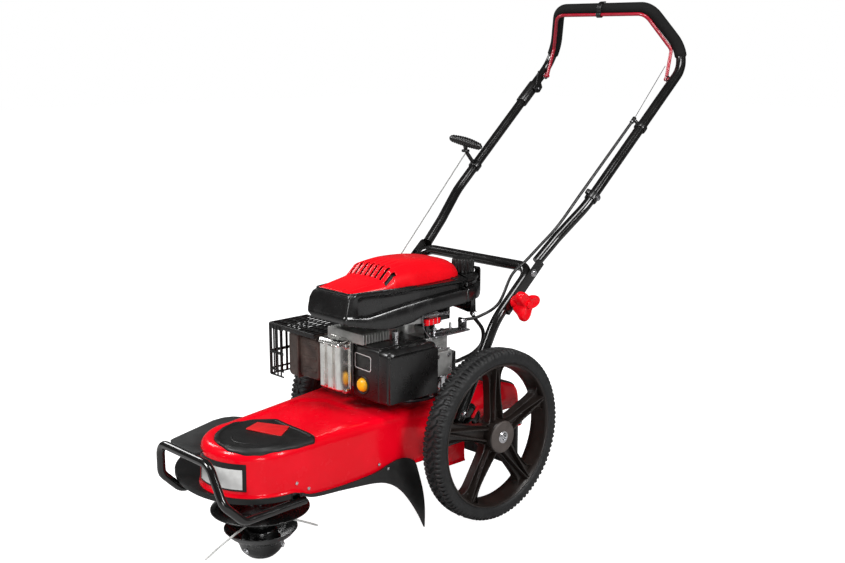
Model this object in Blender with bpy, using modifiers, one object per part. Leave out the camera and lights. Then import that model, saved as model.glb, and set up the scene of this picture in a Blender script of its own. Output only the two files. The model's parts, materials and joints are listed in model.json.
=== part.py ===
"""Walk-behind string trimmer mower: a belt-driven line head under a tongue-shaped deck, a vertical-shaft
engine, two tall five-spoke wheels and a folding two-part handle with a bail.

Metres, +Z up. The front of the mower looks along -Y and the operator's left is +X. The design frame has its
origin on the ground under the axle; one empty then shifts the whole mower so that the middle of its length
stands at Y = 0.
"""
import math

import bmesh
import bpy
import numpy as np
from mathutils import Matrix, Vector

# Running and seating gaps
GAP = 0.0003                 # between pieces that touch
PLAY = 0.0006                # between pieces that turn

# Wheels and axle
WHEEL_R = 0.178              # 14 inch wheel
TYRE_W = 0.050
TYRE_WALL = 0.028            # tread to the seat on the rim
TRACK_OUT = 0.2376           # outer face of a tyre from the middle of the mower
RIM_DEPTH = 0.013
RIM_W = 0.044
SPOKES = 5
SPOKE_W = 0.026
SPOKE_T = 0.022
SPOKE_START = math.radians(93)
HUB_R = 0.034
HUB_OUT = 0.0035             # how far the hub stands out past the tyre
HUB_W = 0.050
CAP_T = 0.0022
NUT_R = 0.011
NUT_T = 0.0035
AXLE_R = 0.0062

# Deck
HEAD_X = 0.044               # axis of the line head
HEAD_Y = -0.457
DECK_NEAR_X = 0.144          # operator's left wall
DECK_FAR_X = -0.144
DECK_FLARE_Y = -0.105        # the right wall runs in from here to the nose
NOSE_R = 0.105
NOSE_FAR_X = -0.070
DECK_REAR_Y = -0.010
SKIRT_Z = 0.155
SKIRT_NEAR_Z = 0.135          # behind the nose on the left
NEAR_START_Y = -0.400
SKIRT_DEEP_Z = 0.105
DEEP_START_Y = -0.125
DEEP_END_Y = -0.070
DECK_TOP_Z = 0.242
DECK_T = 0.003
DECK_EDGE_R = 0.020

# Pad, skirt strip, guards
PAD_T = 0.004
PAD_NEAR = 0.026             # inset of the pad from the nose outline
PAD_REAR_Y = -0.385
STRIP_H = 0.011
STRIP_T = 0.010
STRIP_NEAR = 0.001           # how far the guard reaches past the nose, left and right
STRIP_FAR = 0.078
STRIP_FALL = 6               # how fast that reach falls off round the nose
SHIELD_T = 0.003
SHIELD_Z = 0.226
SHIELD_LEAN = 0.003          # the deck's wall has leaned in this far at the plate
SHIELD_STEPS = 7             # corners of the nose that the plate's inner edge follows
FLAP_T = 0.004
DEFLECTOR_FLARE = 0.030      # how far the guard's foot stands out

# Bumper tube
BUMPER_R = 0.008
BUMPER_Y = -0.600
BUMPER_TOP_Z = 0.232
BUMPER_LOW_Z = 0.132
BUMPER_NEAR_X = 0.142
BUMPER_FAR_X = -0.066
FOOT_CLEAR = 0.0016          # the deck's wall leans in above the feet

# Rear cover and trailing flap
COVER_HALF = 0.140
COVER_REAR_Y = 0.158
COVER_LOW_Z = WHEEL_R + AXLE_R + 0.0018
COVER_TOP_Z = COVER_LOW_Z + 0.074
COVER_T = 0.0025
BRACKET_LEAN = 0.0011       # the deck's wall has leaned in this far at the axle bracket's foot
BRACKET_FRONT_Y = -0.070
FLAP_PIN_Y = 0.176
FLAP_PIN_Z = 0.142
FLAP_PIN_R = 0.004
FLAP_LENGTH = 0.105
FLAP_HALF = 0.122

# Handle
TUBE_R = 0.011
LEG_X = 0.165
LEG_FOOT_Y = -0.050
LEG_FOOT_Z = 0.206
PIVOT_Y = 0.156
PIVOT_Z = 0.485
HANDLE_ANGLE = math.radians(41.3)
LEG_STRAIGHT = 0.132         # below the pivot, along the handle
CROSSBAR_UP = 0.012          # crossbar above the pivot, along the handle
CROSSBAR_BEND = 0.034
CHANNEL_T = 0.0024
CHANNEL_BELOW = 0.105
CHANNEL_ABOVE = 0.034
TUBE_START = 0.030           # upper tube's lower end above the pivot
FLANGE_DEPTH = 0.010
PIVOT_BOLT_R = 0.004
KNOB_BELOW = 0.079           # knob axis below the pivot
KNOB_BOLT_R = 0.004
KNOB_LOBE_R = 0.036
KNOB_REACH = 0.046
KINK_X = 0.176               # where the upper tubes start to spread
KINK_UP = 0.100              # distance of that place from the pivot
SPREAD_X = 0.195
SPREAD_UP = 0.195
ELBOW_X = 0.200              # where the grip turns up and in
ELBOW_UP = 0.661
ELBOW_BEND = 0.070
GRIP_CORNER_X = 0.134
GRIP_BEND = 0.040
GRIP_Y = 0.588
GRIP_Z = 1.034
FOAM_R = 0.0145
HANDLE_STEPS = 4             # steps in each bend of the upper handle

# Bail
BAIL_R = 0.004
BAIL_LEG_X = 0.178
BAIL_PIVOT_UP = 0.590        # distance of the bail's pivot from the handle's
BAIL_ELBOW_X = 0.175
BAIL_ELBOW_Y = 0.619
BAIL_ELBOW_Z = GRIP_Z - 0.093
BAIL_CORNER_X = 0.130
BAIL_AHEAD = 0.0130          # bar in front of the grip, and below it
BAIL_BELOW = 0.0138
CLAMP_T = 0.003              # wall of the collars on the upper tubes
CLIP_W = 0.013
CLIP_T = 0.0030

# Cable
CABLE_R = 0.0032
CLIP_UP = 0.222              # distances of the clip, the stop and the latch from the pivot
STOP_UP = 0.435
LATCH_UP = BAIL_PIVOT_UP - 0.045    # the latch stands clear below the bail's pivot
GUIDE_UP = 0.275

# Engine
CRANK_X = 0.040
CRANK_Y = -0.080
ENGINE_Z = DECK_TOP_Z + 0.004
CASE_HALF_X = 0.078
CASE_FRONT_Y = -0.165
CASE_REAR_Y = -0.030
CASE_TOP_Z = 0.375
SHAFT_R = 0.0125
FAN_R = 0.066
FAN_Z = 0.405
FAN_T = 0.028
CYL_X = 0.010
CYL_FRONT_Y = -0.236
CYL_Z = 0.338
BARREL_R = 0.0325
FIN_COUNT = 6
FIN_T = 0.003
FIN_LEFT = 0.0465
FIN_RIGHT = -0.022
FIN_TOP_LEFT = 0.089
FIN_TOP_Z = 0.402
OIL_X = -0.064               # oil filler, outside the cowl
OIL_Y = -0.072
OIL_Z = 0.398
SHROUD_TOP_Z = 0.487
ROPE_UP = 0.0435               # where the starter rope leaves the cover, above the cowl
SHROUD_Z = SHROUD_TOP_Z - 0.067
LOUVRES = 9
LOUVRE_PITCH = 0.0155
LOUVRE_HALF_W = 0.0030
SHROUD_FRONT_Y = -0.288
SHROUD_REAR_Y = 0.000
SHROUD_T = 0.0025
TANK_REAR_Y = 0.080
CAP_X = 0.070                 # the filler on the tank
CAP_Y = 0.056
CAP_R = 0.0240
TANK_LOW_Z = SHROUD_TOP_Z - 0.075
MUFFLER_X0 = -0.124
MUFFLER_X1 = -0.026
MUFFLER_Y0 = -0.258
MUFFLER_Y1 = -0.176
MUFFLER_Z0 = 0.284
MUFFLER_Z1 = CASE_TOP_Z + 0.003
GUARD_CLEAR = 0.010          # air between the muffler and its guard
GUARD_SIDE = 0.052           # the guard's reach past the muffler on the right
FILTER_X0 = 0.050
FILTER_SPLIT_X = 0.127
FILTER_X1 = 0.160
FILTER_Y0 = -0.230
FILTER_Y1 = -0.100
FILTER_Z0 = 0.270
FILTER_Z1 = 0.378
BULB_R = 0.0140
BULB_X = 0.079
BULB_Z = 0.299
BULB_OUT = 0.009

# Belt drive and line head
ENGINE_PULLEY_R = 0.030
HEAD_PULLEY_R = 0.045
PULLEY_Z = 0.172
PULLEY_T = 0.020
BELT_T = 0.006
BELT_H = 0.010
SPINDLE_R = 0.008
HOUSING_R = 0.034
DISC_R = 0.094
DISC_Z = 0.103
HUB_LINE_R = 0.027
CUP_R = 0.069
CUP_Z = 0.058
LINE_R = 0.0020
LINE_Z = 0.078
LINE_DROOP = 0.014
FRONT_LINE_ANGLE = math.radians(-69)
FRONT_LINE_REACH = 0.175
REAR_LINE_ANGLE = math.radians(42)
REAR_LINE_REACH = 0.110

MATERIALS = {
    "red_paint": ((0.62, 0.008, 0.014), 0.28, 0.0),
    "crimson_paint": ((0.40, 0.006, 0.020), 0.30, 0.0),
    "red_plastic": ((0.66, 0.010, 0.014), 0.40, 0.0),
    "black_tube": ((0.012, 0.012, 0.013), 0.22, 0.0),
    "black_plastic": ((0.016, 0.016, 0.017), 0.45, 0.0),
    "black_rubber": ((0.018, 0.018, 0.018), 0.75, 0.0),
    "tyre_rubber": ((0.022, 0.022, 0.022), 0.80, 0.0),
    "brown_plastic": ((0.040, 0.027, 0.023), 0.42, 0.0),
    "grey_plate": ((0.060, 0.060, 0.064), 0.45, 0.0),
    "cast_aluminium": ((0.62, 0.62, 0.64), 0.38, 1.0),
    "polished_aluminium": ((0.86, 0.85, 0.83), 0.14, 1.0),
    "steel": ((0.60, 0.60, 0.62), 0.25, 1.0),
    "muffler_steel": ((0.20, 0.16, 0.14), 0.50, 1.0),
    "foam": ((0.030, 0.030, 0.030), 0.95, 0.0),
    "yellow_rubber": ((0.85, 0.50, 0.010), 0.45, 0.0),
    "white_rope": ((0.75, 0.75, 0.72), 0.80, 0.0),
    "nylon_line": ((0.62, 0.62, 0.60), 0.40, 0.0),
}

HANDLE_UP = Vector((0, math.cos(HANDLE_ANGLE), math.sin(HANDLE_ANGLE)))
HANDLE_BACK = Vector((0, math.sin(HANDLE_ANGLE), -math.cos(HANDLE_ANGLE)))
PIVOT = Vector((0, PIVOT_Y, PIVOT_Z))


# Scene helpers

def clear_scene():
    for obj in list(bpy.data.objects):
        bpy.data.objects.remove(obj, do_unlink=True)


def make_collections():
    mower = bpy.data.collections.new("string_trimmer_mower")
    cutters = bpy.data.collections.new("cutters")
    for collection in (mower, cutters):
        bpy.context.scene.collection.children.link(collection)
    origin = bpy.data.objects.new("mower_origin", None)
    mower.objects.link(origin)
    return mower, cutters, origin


clear_scene()
MOWER, CUTTERS, ORIGIN = make_collections()


def material(name):
    found = bpy.data.materials.get(name)
    if found:
        return found
    colour, roughness, metallic = MATERIALS[name]
    made = bpy.data.materials.new(name)
    made.use_nodes = True
    shader = made.node_tree.nodes["Principled BSDF"]
    shader.inputs["Base Color"].default_value = (*colour, 1)
    shader.inputs["Roughness"].default_value = roughness
    shader.inputs["Metallic"].default_value = metallic
    return made


def add_object(name, mesh, finish, location=(0, 0, 0), rotation=(0, 0, 0)):
    obj = bpy.data.objects.new(name, mesh)
    obj.location = location
    obj.rotation_euler = rotation
    obj.parent = ORIGIN
    mesh.materials.append(material(finish))
    MOWER.objects.link(obj)
    return obj


def mesh_from_bmesh(name, shape):
    mesh = bpy.data.meshes.new(name)
    shape.to_mesh(mesh)
    shape.free()
    return mesh


def to_cutters(tool):
    for collection in list(tool.users_collection):
        collection.objects.unlink(tool)
    CUTTERS.objects.link(tool)
    tool.hide_render = True
    tool.display_type = "WIRE"


def combine(target, tool, operation):
    to_cutters(tool)
    step = target.modifiers.new(operation.lower(), "BOOLEAN")
    step.operation = operation
    step.object = tool


def cut(target, *tools):
    for tool in tools:
        combine(target, tool, "DIFFERENCE")


def join(target, *tools):
    for tool in tools:
        combine(target, tool, "UNION")


def bevel(obj, width, segments=2, angle=35):
    step = obj.modifiers.new("bevel", "BEVEL")
    step.width = width
    step.segments = segments
    step.limit_method = "ANGLE"
    step.angle_limit = math.radians(angle)


def smooth(obj, angle=40):
    obj.data.shade_smooth()
    obj.data.set_sharp_from_angle(angle=math.radians(angle))
    return obj


# Shape helpers

def box(name, low, high, finish, edge=0.0, segments=2):
    """A block between two corners, with rounded edges."""
    low, high = Vector(low), Vector(high)
    shape = bmesh.new()
    bmesh.ops.create_cube(shape, size=1.0)
    bmesh.ops.scale(shape, vec=high - low, verts=shape.verts)
    obj = add_object(name, mesh_from_bmesh(name, shape), finish, (low + high) / 2)
    if edge:
        bevel(obj, edge, segments)
    return obj


def rod(name, start, end, radius, finish, sides=16, end_radius=None):
    """A cylinder or cone from one point to another."""
    start, end = Vector(start), Vector(end)
    along = end - start
    shape = bmesh.new()
    bmesh.ops.create_cone(shape, cap_ends=True, segments=sides, radius1=radius,
                          radius2=radius if end_radius is None else end_radius, depth=along.length)
    turn = along.to_track_quat("Z", "Y").to_euler()
    return smooth(add_object(name, mesh_from_bmesh(name, shape), finish, (start + end) / 2, turn))


def turned(name, profile, finish, location=(0, 0, 0), axis="Z", steps=32, closed=False):
    """A profile of (radius, height) points carried once round an axis, top to bottom on its outer side."""
    shape = bmesh.new()
    points = [shape.verts.new((radius, 0, height)) for radius, height in profile]
    for first, second in zip(points, points[1:]):
        shape.edges.new((first, second))
    if closed:
        shape.edges.new((points[-1], points[0]))
    turn = {"Z": (0, 0, 0), "X": (0, math.pi / 2, 0), "-X": (0, -math.pi / 2, 0), "-Y": (math.pi / 2, 0, 0)}[axis]
    obj = add_object(name, mesh_from_bmesh(name, shape), finish, location, turn)
    step = obj.modifiers.new("turn", "SCREW")
    step.steps = step.render_steps = steps
    step.use_merge_vertices = True
    step.merge_threshold = 0.00001
    return obj


def rounded_path(points, radius, arc_steps=5):
    """The polyline through points with each corner replaced by an arc of the given radius."""
    points = [Vector(point) for point in points]
    radii = radius if isinstance(radius, (list, tuple)) else [radius] * (len(points) - 2)
    path = [points[0]]
    for before, corner, after, bend in zip(points, points[1:], points[2:], radii):
        back, ahead = (before - corner).normalized(), (after - corner).normalized()
        half = back.angle(ahead) / 2
        reach = min(bend / math.tan(half), 0.49 * (before - corner).length, 0.49 * (after - corner).length)
        bend = reach * math.tan(half)
        centre = corner + (back + ahead).normalized() * (bend / math.sin(half))
        first = (corner + back * reach - centre).normalized()
        last = (corner + ahead * reach - centre).normalized()
        for step in range(arc_steps + 1):
            path.append(centre + first.slerp(last, step / arc_steps) * bend)
    path.append(points[-1])
    return path


def smooth_path(points, count):
    """Points read from one smooth Catmull-Rom curve through the route's own points."""
    route = np.array([list(point) for point in points])
    route = np.vstack([2 * route[0] - route[1], route, 2 * route[-1] - route[-2]])
    spans = len(route) - 3
    path = []
    for place in np.linspace(0, spans, count):
        index = min(int(place), spans - 1)
        t = place - index
        a, b, c, d = route[index:index + 4]
        path.append(Vector(0.5 * (2 * b + (c - a) * t + (2 * a - 5 * b + 4 * c - d) * t ** 2
                                  + (3 * b - a - 3 * c + d) * t ** 3)))
    return path


def mesh_of_curve(name, curve, finish):
    """A curve turned into a mesh with its caps welded."""
    guide = bpy.data.objects.new(name + "_curve", curve)
    MOWER.objects.link(guide)
    bpy.context.view_layer.update()
    evaluated = guide.evaluated_get(bpy.context.evaluated_depsgraph_get())
    mesh = bpy.data.meshes.new_from_object(evaluated)
    bpy.data.objects.remove(guide, do_unlink=True)
    shape = bmesh.new()
    shape.from_mesh(mesh)
    bmesh.ops.remove_doubles(shape, verts=shape.verts, dist=0.00001)
    shape.to_mesh(mesh)
    shape.free()
    mesh.materials.clear()
    return add_object(name, mesh, finish)


def tube(name, path, radius, finish, resolution=2):
    """A round bar or tube along a path."""
    curve = bpy.data.curves.new(name, "CURVE")
    curve.dimensions = "3D"
    curve.bevel_depth = radius
    curve.bevel_resolution = resolution
    curve.use_fill_caps = True
    spline = curve.splines.new("POLY")
    spline.points.add(len(path) - 1)
    for point, place in zip(spline.points, path):
        point.co = (*place, 1)
    return smooth(mesh_of_curve(name, curve, finish), 50)


def plate(name, outline, thickness, finish, location=(0, 0, 0), rotation=(0, 0, 0)):
    """A flat outline in its own XY plane, given half its thickness to each side."""
    curve = bpy.data.curves.new(name, "CURVE")
    curve.dimensions = "2D"
    curve.fill_mode = "BOTH"
    curve.extrude = thickness / 2
    spline = curve.splines.new("POLY")
    spline.points.add(len(outline) - 1)
    for point, (across, up) in zip(spline.points, outline):
        point.co = (across, up, 0, 1)
    spline.use_cyclic_u = True
    obj = mesh_of_curve(name, curve, finish)
    obj.location = location
    obj.rotation_euler = rotation
    return obj


def loft(name, rings, finish, cap_first=True, cap_last=True):
    """A skin through rings of equal length, counter-clockwise from above and listed bottom to top."""
    shape = bmesh.new()
    rows = [[shape.verts.new(point) for point in ring] for ring in rings]
    count = len(rings[0])
    for low, high in zip(rows, rows[1:]):
        for index in range(count):
            after = (index + 1) % count
            shape.faces.new((low[index], low[after], high[after], high[index]))
    if cap_first:
        shape.faces.new(list(reversed(rows[0])))
    if cap_last:
        shape.faces.new(rows[-1])
    return add_object(name, mesh_from_bmesh(name, shape), finish)


def wall(obj, thickness):
    """Gives an open skin its wall, inwards."""
    step = obj.modifiers.new("wall", "SOLIDIFY")
    step.thickness = thickness
    step.offset = -1
    step.use_even_offset = True
    return obj


def arc(centre, radius, start, end, steps):
    """Points on an arc in a plane, from one angle to another in degrees."""
    angles = np.radians(np.linspace(start, end, steps + 1))
    return [(centre[0] + radius * math.cos(a), centre[1] + radius * math.sin(a)) for a in angles]


def mirrored(point):
    return Vector((-point[0], point[1], point[2]))


def along_handle(distance, back=0.0, x=0.0):
    """A point on the handle's side view: a distance up from the pivot and a distance behind the line."""
    return PIVOT + HANDLE_UP * distance + HANDLE_BACK * back + Vector((x, 0, 0))


# Deck

def far_wall_x(y):
    """The right wall: in line at the rear, running in to the nose."""
    if y > DECK_FLARE_Y:
        return DECK_FAR_X
    share = (DECK_FLARE_Y - y) / (DECK_FLARE_Y - HEAD_Y)
    return DECK_FAR_X + share * (NOSE_FAR_X - DECK_FAR_X)


def deck_outline(inset, rear_y=DECK_REAR_Y):
    """The deck's plan from the rear right corner, round the nose, counter-clockwise from above."""
    stations = [NEAR_START_Y, DECK_FLARE_Y - 0.12, DEEP_START_Y, DEEP_END_Y, rear_y]
    middle_x = (DECK_NEAR_X + NOSE_FAR_X) / 2
    half = (DECK_NEAR_X - NOSE_FAR_X) / 2 - inset
    nose = [(middle_x - half * math.cos(a), HEAD_Y - (NOSE_R - inset) * math.sin(a))
            for a in np.linspace(0, math.pi, 15)]
    far = [(far_wall_x(y) + inset, y) for y in reversed(stations)]
    near = [(DECK_NEAR_X - inset, y) for y in stations]
    return far + nose + near


def skirt_height(x, y):
    """The lower edge of the deck's wall, deeper on the left and beside the axle."""
    high = SKIRT_NEAR_Z if x > 0 and y >= NEAR_START_Y else SKIRT_Z
    share = min(max((y - DEEP_START_Y) / (DEEP_END_Y - DEEP_START_Y), 0), 1)
    return high + share * (SKIRT_DEEP_Z - high)


def build_deck():
    rim = [(x, y, skirt_height(x, y)) for x, y in deck_outline(0)]
    rings = [rim]
    for inset, z in ((0.003, DECK_TOP_Z - DECK_EDGE_R), (0.009, DECK_TOP_Z - 0.35 * DECK_EDGE_R),
                     (DECK_EDGE_R, DECK_TOP_Z)):
        rings.append([(x, y, z) for x, y in deck_outline(inset, DECK_REAR_Y)])
    deck = wall(loft("deck_shell", rings, "red_paint", cap_first=False), DECK_T)
    cut(deck, rod("shaft_hole", (CRANK_X, CRANK_Y, DECK_TOP_Z - 0.02), (CRANK_X, CRANK_Y, DECK_TOP_Z + 0.02),
                  SHAFT_R + 0.006, "steel", 24))
    smooth(deck, 30)


def build_nose_pad():
    outline = [(x, y) for x, y in deck_outline(PAD_NEAR) if y < PAD_REAR_Y]
    pad = plate("nose_pad", [(far_wall_x(PAD_REAR_Y) + PAD_NEAR, PAD_REAR_Y)] + outline
                + [(DECK_NEAR_X - PAD_NEAR, PAD_REAR_Y)], PAD_T, "black_plastic",
                (0, 0, DECK_TOP_Z + GAP + PAD_T / 2))
    bevel(pad, 0.0012, 1)


def band(name, outer, inner, low, high, finish):
    """A thin upright wall between two plan lines of equal length, from one height to another."""
    rings = [[(x, y, z) for x, y in line] for line, z in ((inner, low), (outer, low), (outer, high), (inner, high))]
    shape = bmesh.new()
    rows = [[shape.verts.new(point) for point in ring] for ring in rings]
    for first, second in zip(rows, rows[1:] + rows[:1]):
        for index in range(len(first) - 1):
            shape.faces.new((first[index], first[index + 1], second[index + 1], second[index]))
    shape.faces.new([row[0] for row in rows])
    shape.faces.new([row[-1] for row in reversed(rows)])
    bmesh.ops.recalc_face_normals(shape, faces=shape.faces)
    return add_object(name, mesh_from_bmesh(name, shape), finish)


def build_front_skirt():
    """A black guard under the nose's edge, widest on the right."""
    middle_x = (DECK_NEAR_X + NOSE_FAR_X) / 2
    half = (DECK_NEAR_X - NOSE_FAR_X) / 2
    inner, outer = [], []
    for a in np.linspace(0, math.pi, 21):
        reach = STRIP_NEAR + (STRIP_FAR - STRIP_NEAR) * max(math.cos(a / 2), 0) ** STRIP_FALL
        across, ahead = math.cos(a), math.sin(a)
        inner.append((middle_x - (half - STRIP_T) * across, HEAD_Y - 0.001 - (NOSE_R - STRIP_T) * ahead))
        outer.append((middle_x - (half + reach) * across, HEAD_Y - 0.001 - (NOSE_R + reach) * ahead))
    band("front_skirt", outer, inner, SKIRT_Z - GAP - STRIP_H, SKIRT_Z - GAP, "black_plastic")


def build_shield_plate():
    """A flat guard that stands out from the right of the nose, bolted to the deck's wall."""
    outline = [(-0.084, -0.568), (-0.089, -0.558), (-0.129, -0.443), (-0.130, -0.418), (-0.122, -0.400),
               (-0.098, -0.383), (far_wall_x(-0.383) + SHIELD_LEAN - GAP, -0.383)]
    middle_x = (DECK_NEAR_X + NOSE_FAR_X) / 2
    lean = SHIELD_LEAN - GAP
    outline += [(middle_x - ((DECK_NEAR_X - NOSE_FAR_X) / 2 - lean) * math.cos(a),
                 HEAD_Y - (NOSE_R - lean) * math.sin(a)) for a in np.linspace(0, math.pi, 15)[:SHIELD_STEPS]]
    outline += [(0.004, -0.574), (-0.004, -0.580), (-0.070, -0.574)]
    plate("shield_plate", list(reversed(outline)), SHIELD_T, "grey_plate", (0, 0, SHIELD_Z - SHIELD_T))


def build_side_deflector():
    """A rubber strip under the deck's left edge that widens into a curved guard in front of the wheel."""
    top = [(-0.440, 0.152), (-0.410, 0.1425), (-0.340, 0.1405), (-0.262, 0.1435), (-0.225, 0.151), (-0.192, 0.153),
           (-0.165, 0.144), (-0.150, 0.116)]
    foot = [(-0.440, 0.147), (-0.410, 0.1365), (-0.340, 0.1315), (-0.262, 0.124), (-0.225, 0.113), (-0.197, 0.090),
            (-0.174, 0.060), (-0.154, 0.010)]
    near = DECK_NEAR_X + GAP + FLAP_T / 2
    shape = bmesh.new()
    rows = []
    for share in (0.0, 0.33, 0.67, 1.0):
        row = []
        for (y0, z0), (y1, z1) in zip(top, foot):
            y, z = y0 + share * (y1 - y0), z0 + share * (z1 - z0)
            flare = DEFLECTOR_FLARE * (max(SKIRT_Z - z, 0) / SKIRT_Z) ** 1.4
            row.append(shape.verts.new((near + flare, y, z)))
        rows.append(row)
    for first, second in zip(rows, rows[1:]):
        for index in range(len(first) - 1):
            shape.faces.new((first[index], second[index], second[index + 1], first[index + 1]))
    bmesh.ops.recalc_face_normals(shape, faces=shape.faces)
    guard = add_object("side_deflector", mesh_from_bmesh("side_deflector", shape), "black_rubber")
    step = guard.modifiers.new("wall", "SOLIDIFY")
    step.thickness = FLAP_T
    step.offset = 0


def build_bumper():
    near, far = BUMPER_NEAR_X, BUMPER_FAR_X
    points = [(near, -0.425, BUMPER_LOW_Z), (near, -0.560, BUMPER_LOW_Z - 0.004),
              (near - 0.004, BUMPER_Y, 0.168), (near - 0.045, BUMPER_Y, BUMPER_TOP_Z),
              (far, BUMPER_Y, BUMPER_TOP_Z), (far, BUMPER_Y, 0.172),
              (far, -0.560, BUMPER_LOW_Z), (far, -0.425, BUMPER_LOW_Z)]
    path = rounded_path(points, [0.022, 0.022, 0.03, 0.022, 0.022, 0.025], 4)
    bumper = tube("front_bumper", path, BUMPER_R, "black_tube")
    cut(bpy.data.objects["front_skirt"], tube("skirt_notch", path, BUMPER_R + 0.003, "black_tube"))
    near_wall = DECK_NEAR_X - DECK_T - FOOT_CLEAR
    far_wall = far_wall_x(-0.445) + DECK_T + FOOT_CLEAR
    for name, x0, x1 in (("bumper_foot_near", near_wall - 0.012, near_wall),
                         ("bumper_foot_far", far_wall, far_wall + 0.012)):
        join(bumper, box(name, (x0, -0.445, BUMPER_LOW_Z), (x1, -0.430, SKIRT_Z + 0.020), "black_tube"))


def build_rear_cover():
    front = DECK_REAR_Y + GAP
    curve = [(0.030, COVER_TOP_Z + 0.002), (0.090, COVER_TOP_Z - 0.003), (0.125, COVER_TOP_Z - 0.013),
             (0.147, COVER_TOP_Z - 0.024), (0.1555, COVER_TOP_Z - 0.037), (COVER_REAR_Y, COVER_TOP_Z - 0.055),
             (COVER_REAR_Y, COVER_LOW_Z)]
    turn = (math.pi / 2, 0, math.pi / 2)
    cover = plate("rear_cover", [(front, COVER_LOW_Z), (front, COVER_TOP_Z)] + curve, 2 * COVER_HALF, "red_paint",
                  (0, 0, 0), turn)
    hollow = [(front + COVER_T, COVER_LOW_Z - 0.03), (front + COVER_T, COVER_TOP_Z - COVER_T)]
    hollow += [(y - COVER_T, z - COVER_T) for y, z in curve[:-1]]
    hollow.append((COVER_REAR_Y - COVER_T, COVER_LOW_Z - 0.03))
    cut(cover, plate("rear_cover_hollow", hollow, 2 * (COVER_HALF - COVER_T), "red_paint", (0, 0, 0), turn))
    for name, side in (("flap_ear_left", 1), ("flap_ear_right", -1)):
        x = side * (FLAP_HALF + 0.006)
        ear = box(name, (x - 0.002, COVER_REAR_Y - 0.012, FLAP_PIN_Z - 0.008), (x + 0.002, FLAP_PIN_Y + 0.008,
                                                                               COVER_LOW_Z + 0.030), "red_paint")
        join(cover, ear)
    smooth(cover, 35)


def build_rear_flap():
    """A trailing flap with its pin, which swings back when it meets the ground."""
    flap = box("rear_flap", (-FLAP_HALF, FLAP_PIN_Y - FLAP_T / 2, FLAP_PIN_Z - FLAP_LENGTH),
               (FLAP_HALF, FLAP_PIN_Y + FLAP_T / 2, FLAP_PIN_Z), "black_rubber")
    pin_half = FLAP_HALF + 0.012
    join(flap, rod("flap_pin", (-pin_half, FLAP_PIN_Y, FLAP_PIN_Z), (pin_half, FLAP_PIN_Y, FLAP_PIN_Z),
                   FLAP_PIN_R, "steel", 12))
    for side in (1, -1):
        x = side * (FLAP_HALF + 0.006)
        cut(bpy.data.objects["rear_cover"],
            rod("flap_pin_hole", (x - 0.01, FLAP_PIN_Y, FLAP_PIN_Z), (x + 0.01, FLAP_PIN_Y, FLAP_PIN_Z),
                FLAP_PIN_R + PLAY, "steel", 12))


# Wheels

def build_axle():
    reach = TRACK_OUT + HUB_OUT + CAP_T + 0.001
    axle = rod("axle", (-reach, 0, WHEEL_R), (reach, 0, WHEEL_R), AXLE_R, "steel", 16)
    for side in (1, -1):
        face = side * (TRACK_OUT + HUB_OUT + CAP_T + 2 * GAP)
        join(axle, rod("axle_nut", (face, 0, WHEEL_R), (face + side * NUT_T, 0, WHEEL_R), NUT_R, "steel", 16,
                       NUT_R * 0.75))


def build_axle_brackets():
    """A plate on each side that hangs the axle and the handle's foot on the deck's wall."""
    inner = DECK_NEAR_X + GAP - BRACKET_LEAN
    outer = LEG_X - TUBE_R - GAP
    for name, side in (("axle_bracket_left", 1), ("axle_bracket_right", -1)):
        outline = [(BRACKET_FRONT_Y, 0.148), (0.030, 0.148), (0.034, 0.200), (0.010, 0.226),
                   (BRACKET_FRONT_Y + 0.004, 0.226)]
        middle = side * (inner + outer) / 2
        flat = plate(name, [(y, z) for y, z in outline], outer - inner, "red_paint", (middle, 0, 0),
                     (math.pi / 2, 0, math.pi / 2))
        bore = rod("axle_hole", (middle - 0.02, 0, WHEEL_R), (middle + 0.02, 0, WHEEL_R), AXLE_R + GAP, "steel", 16)
        cut(flat, bore)


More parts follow.
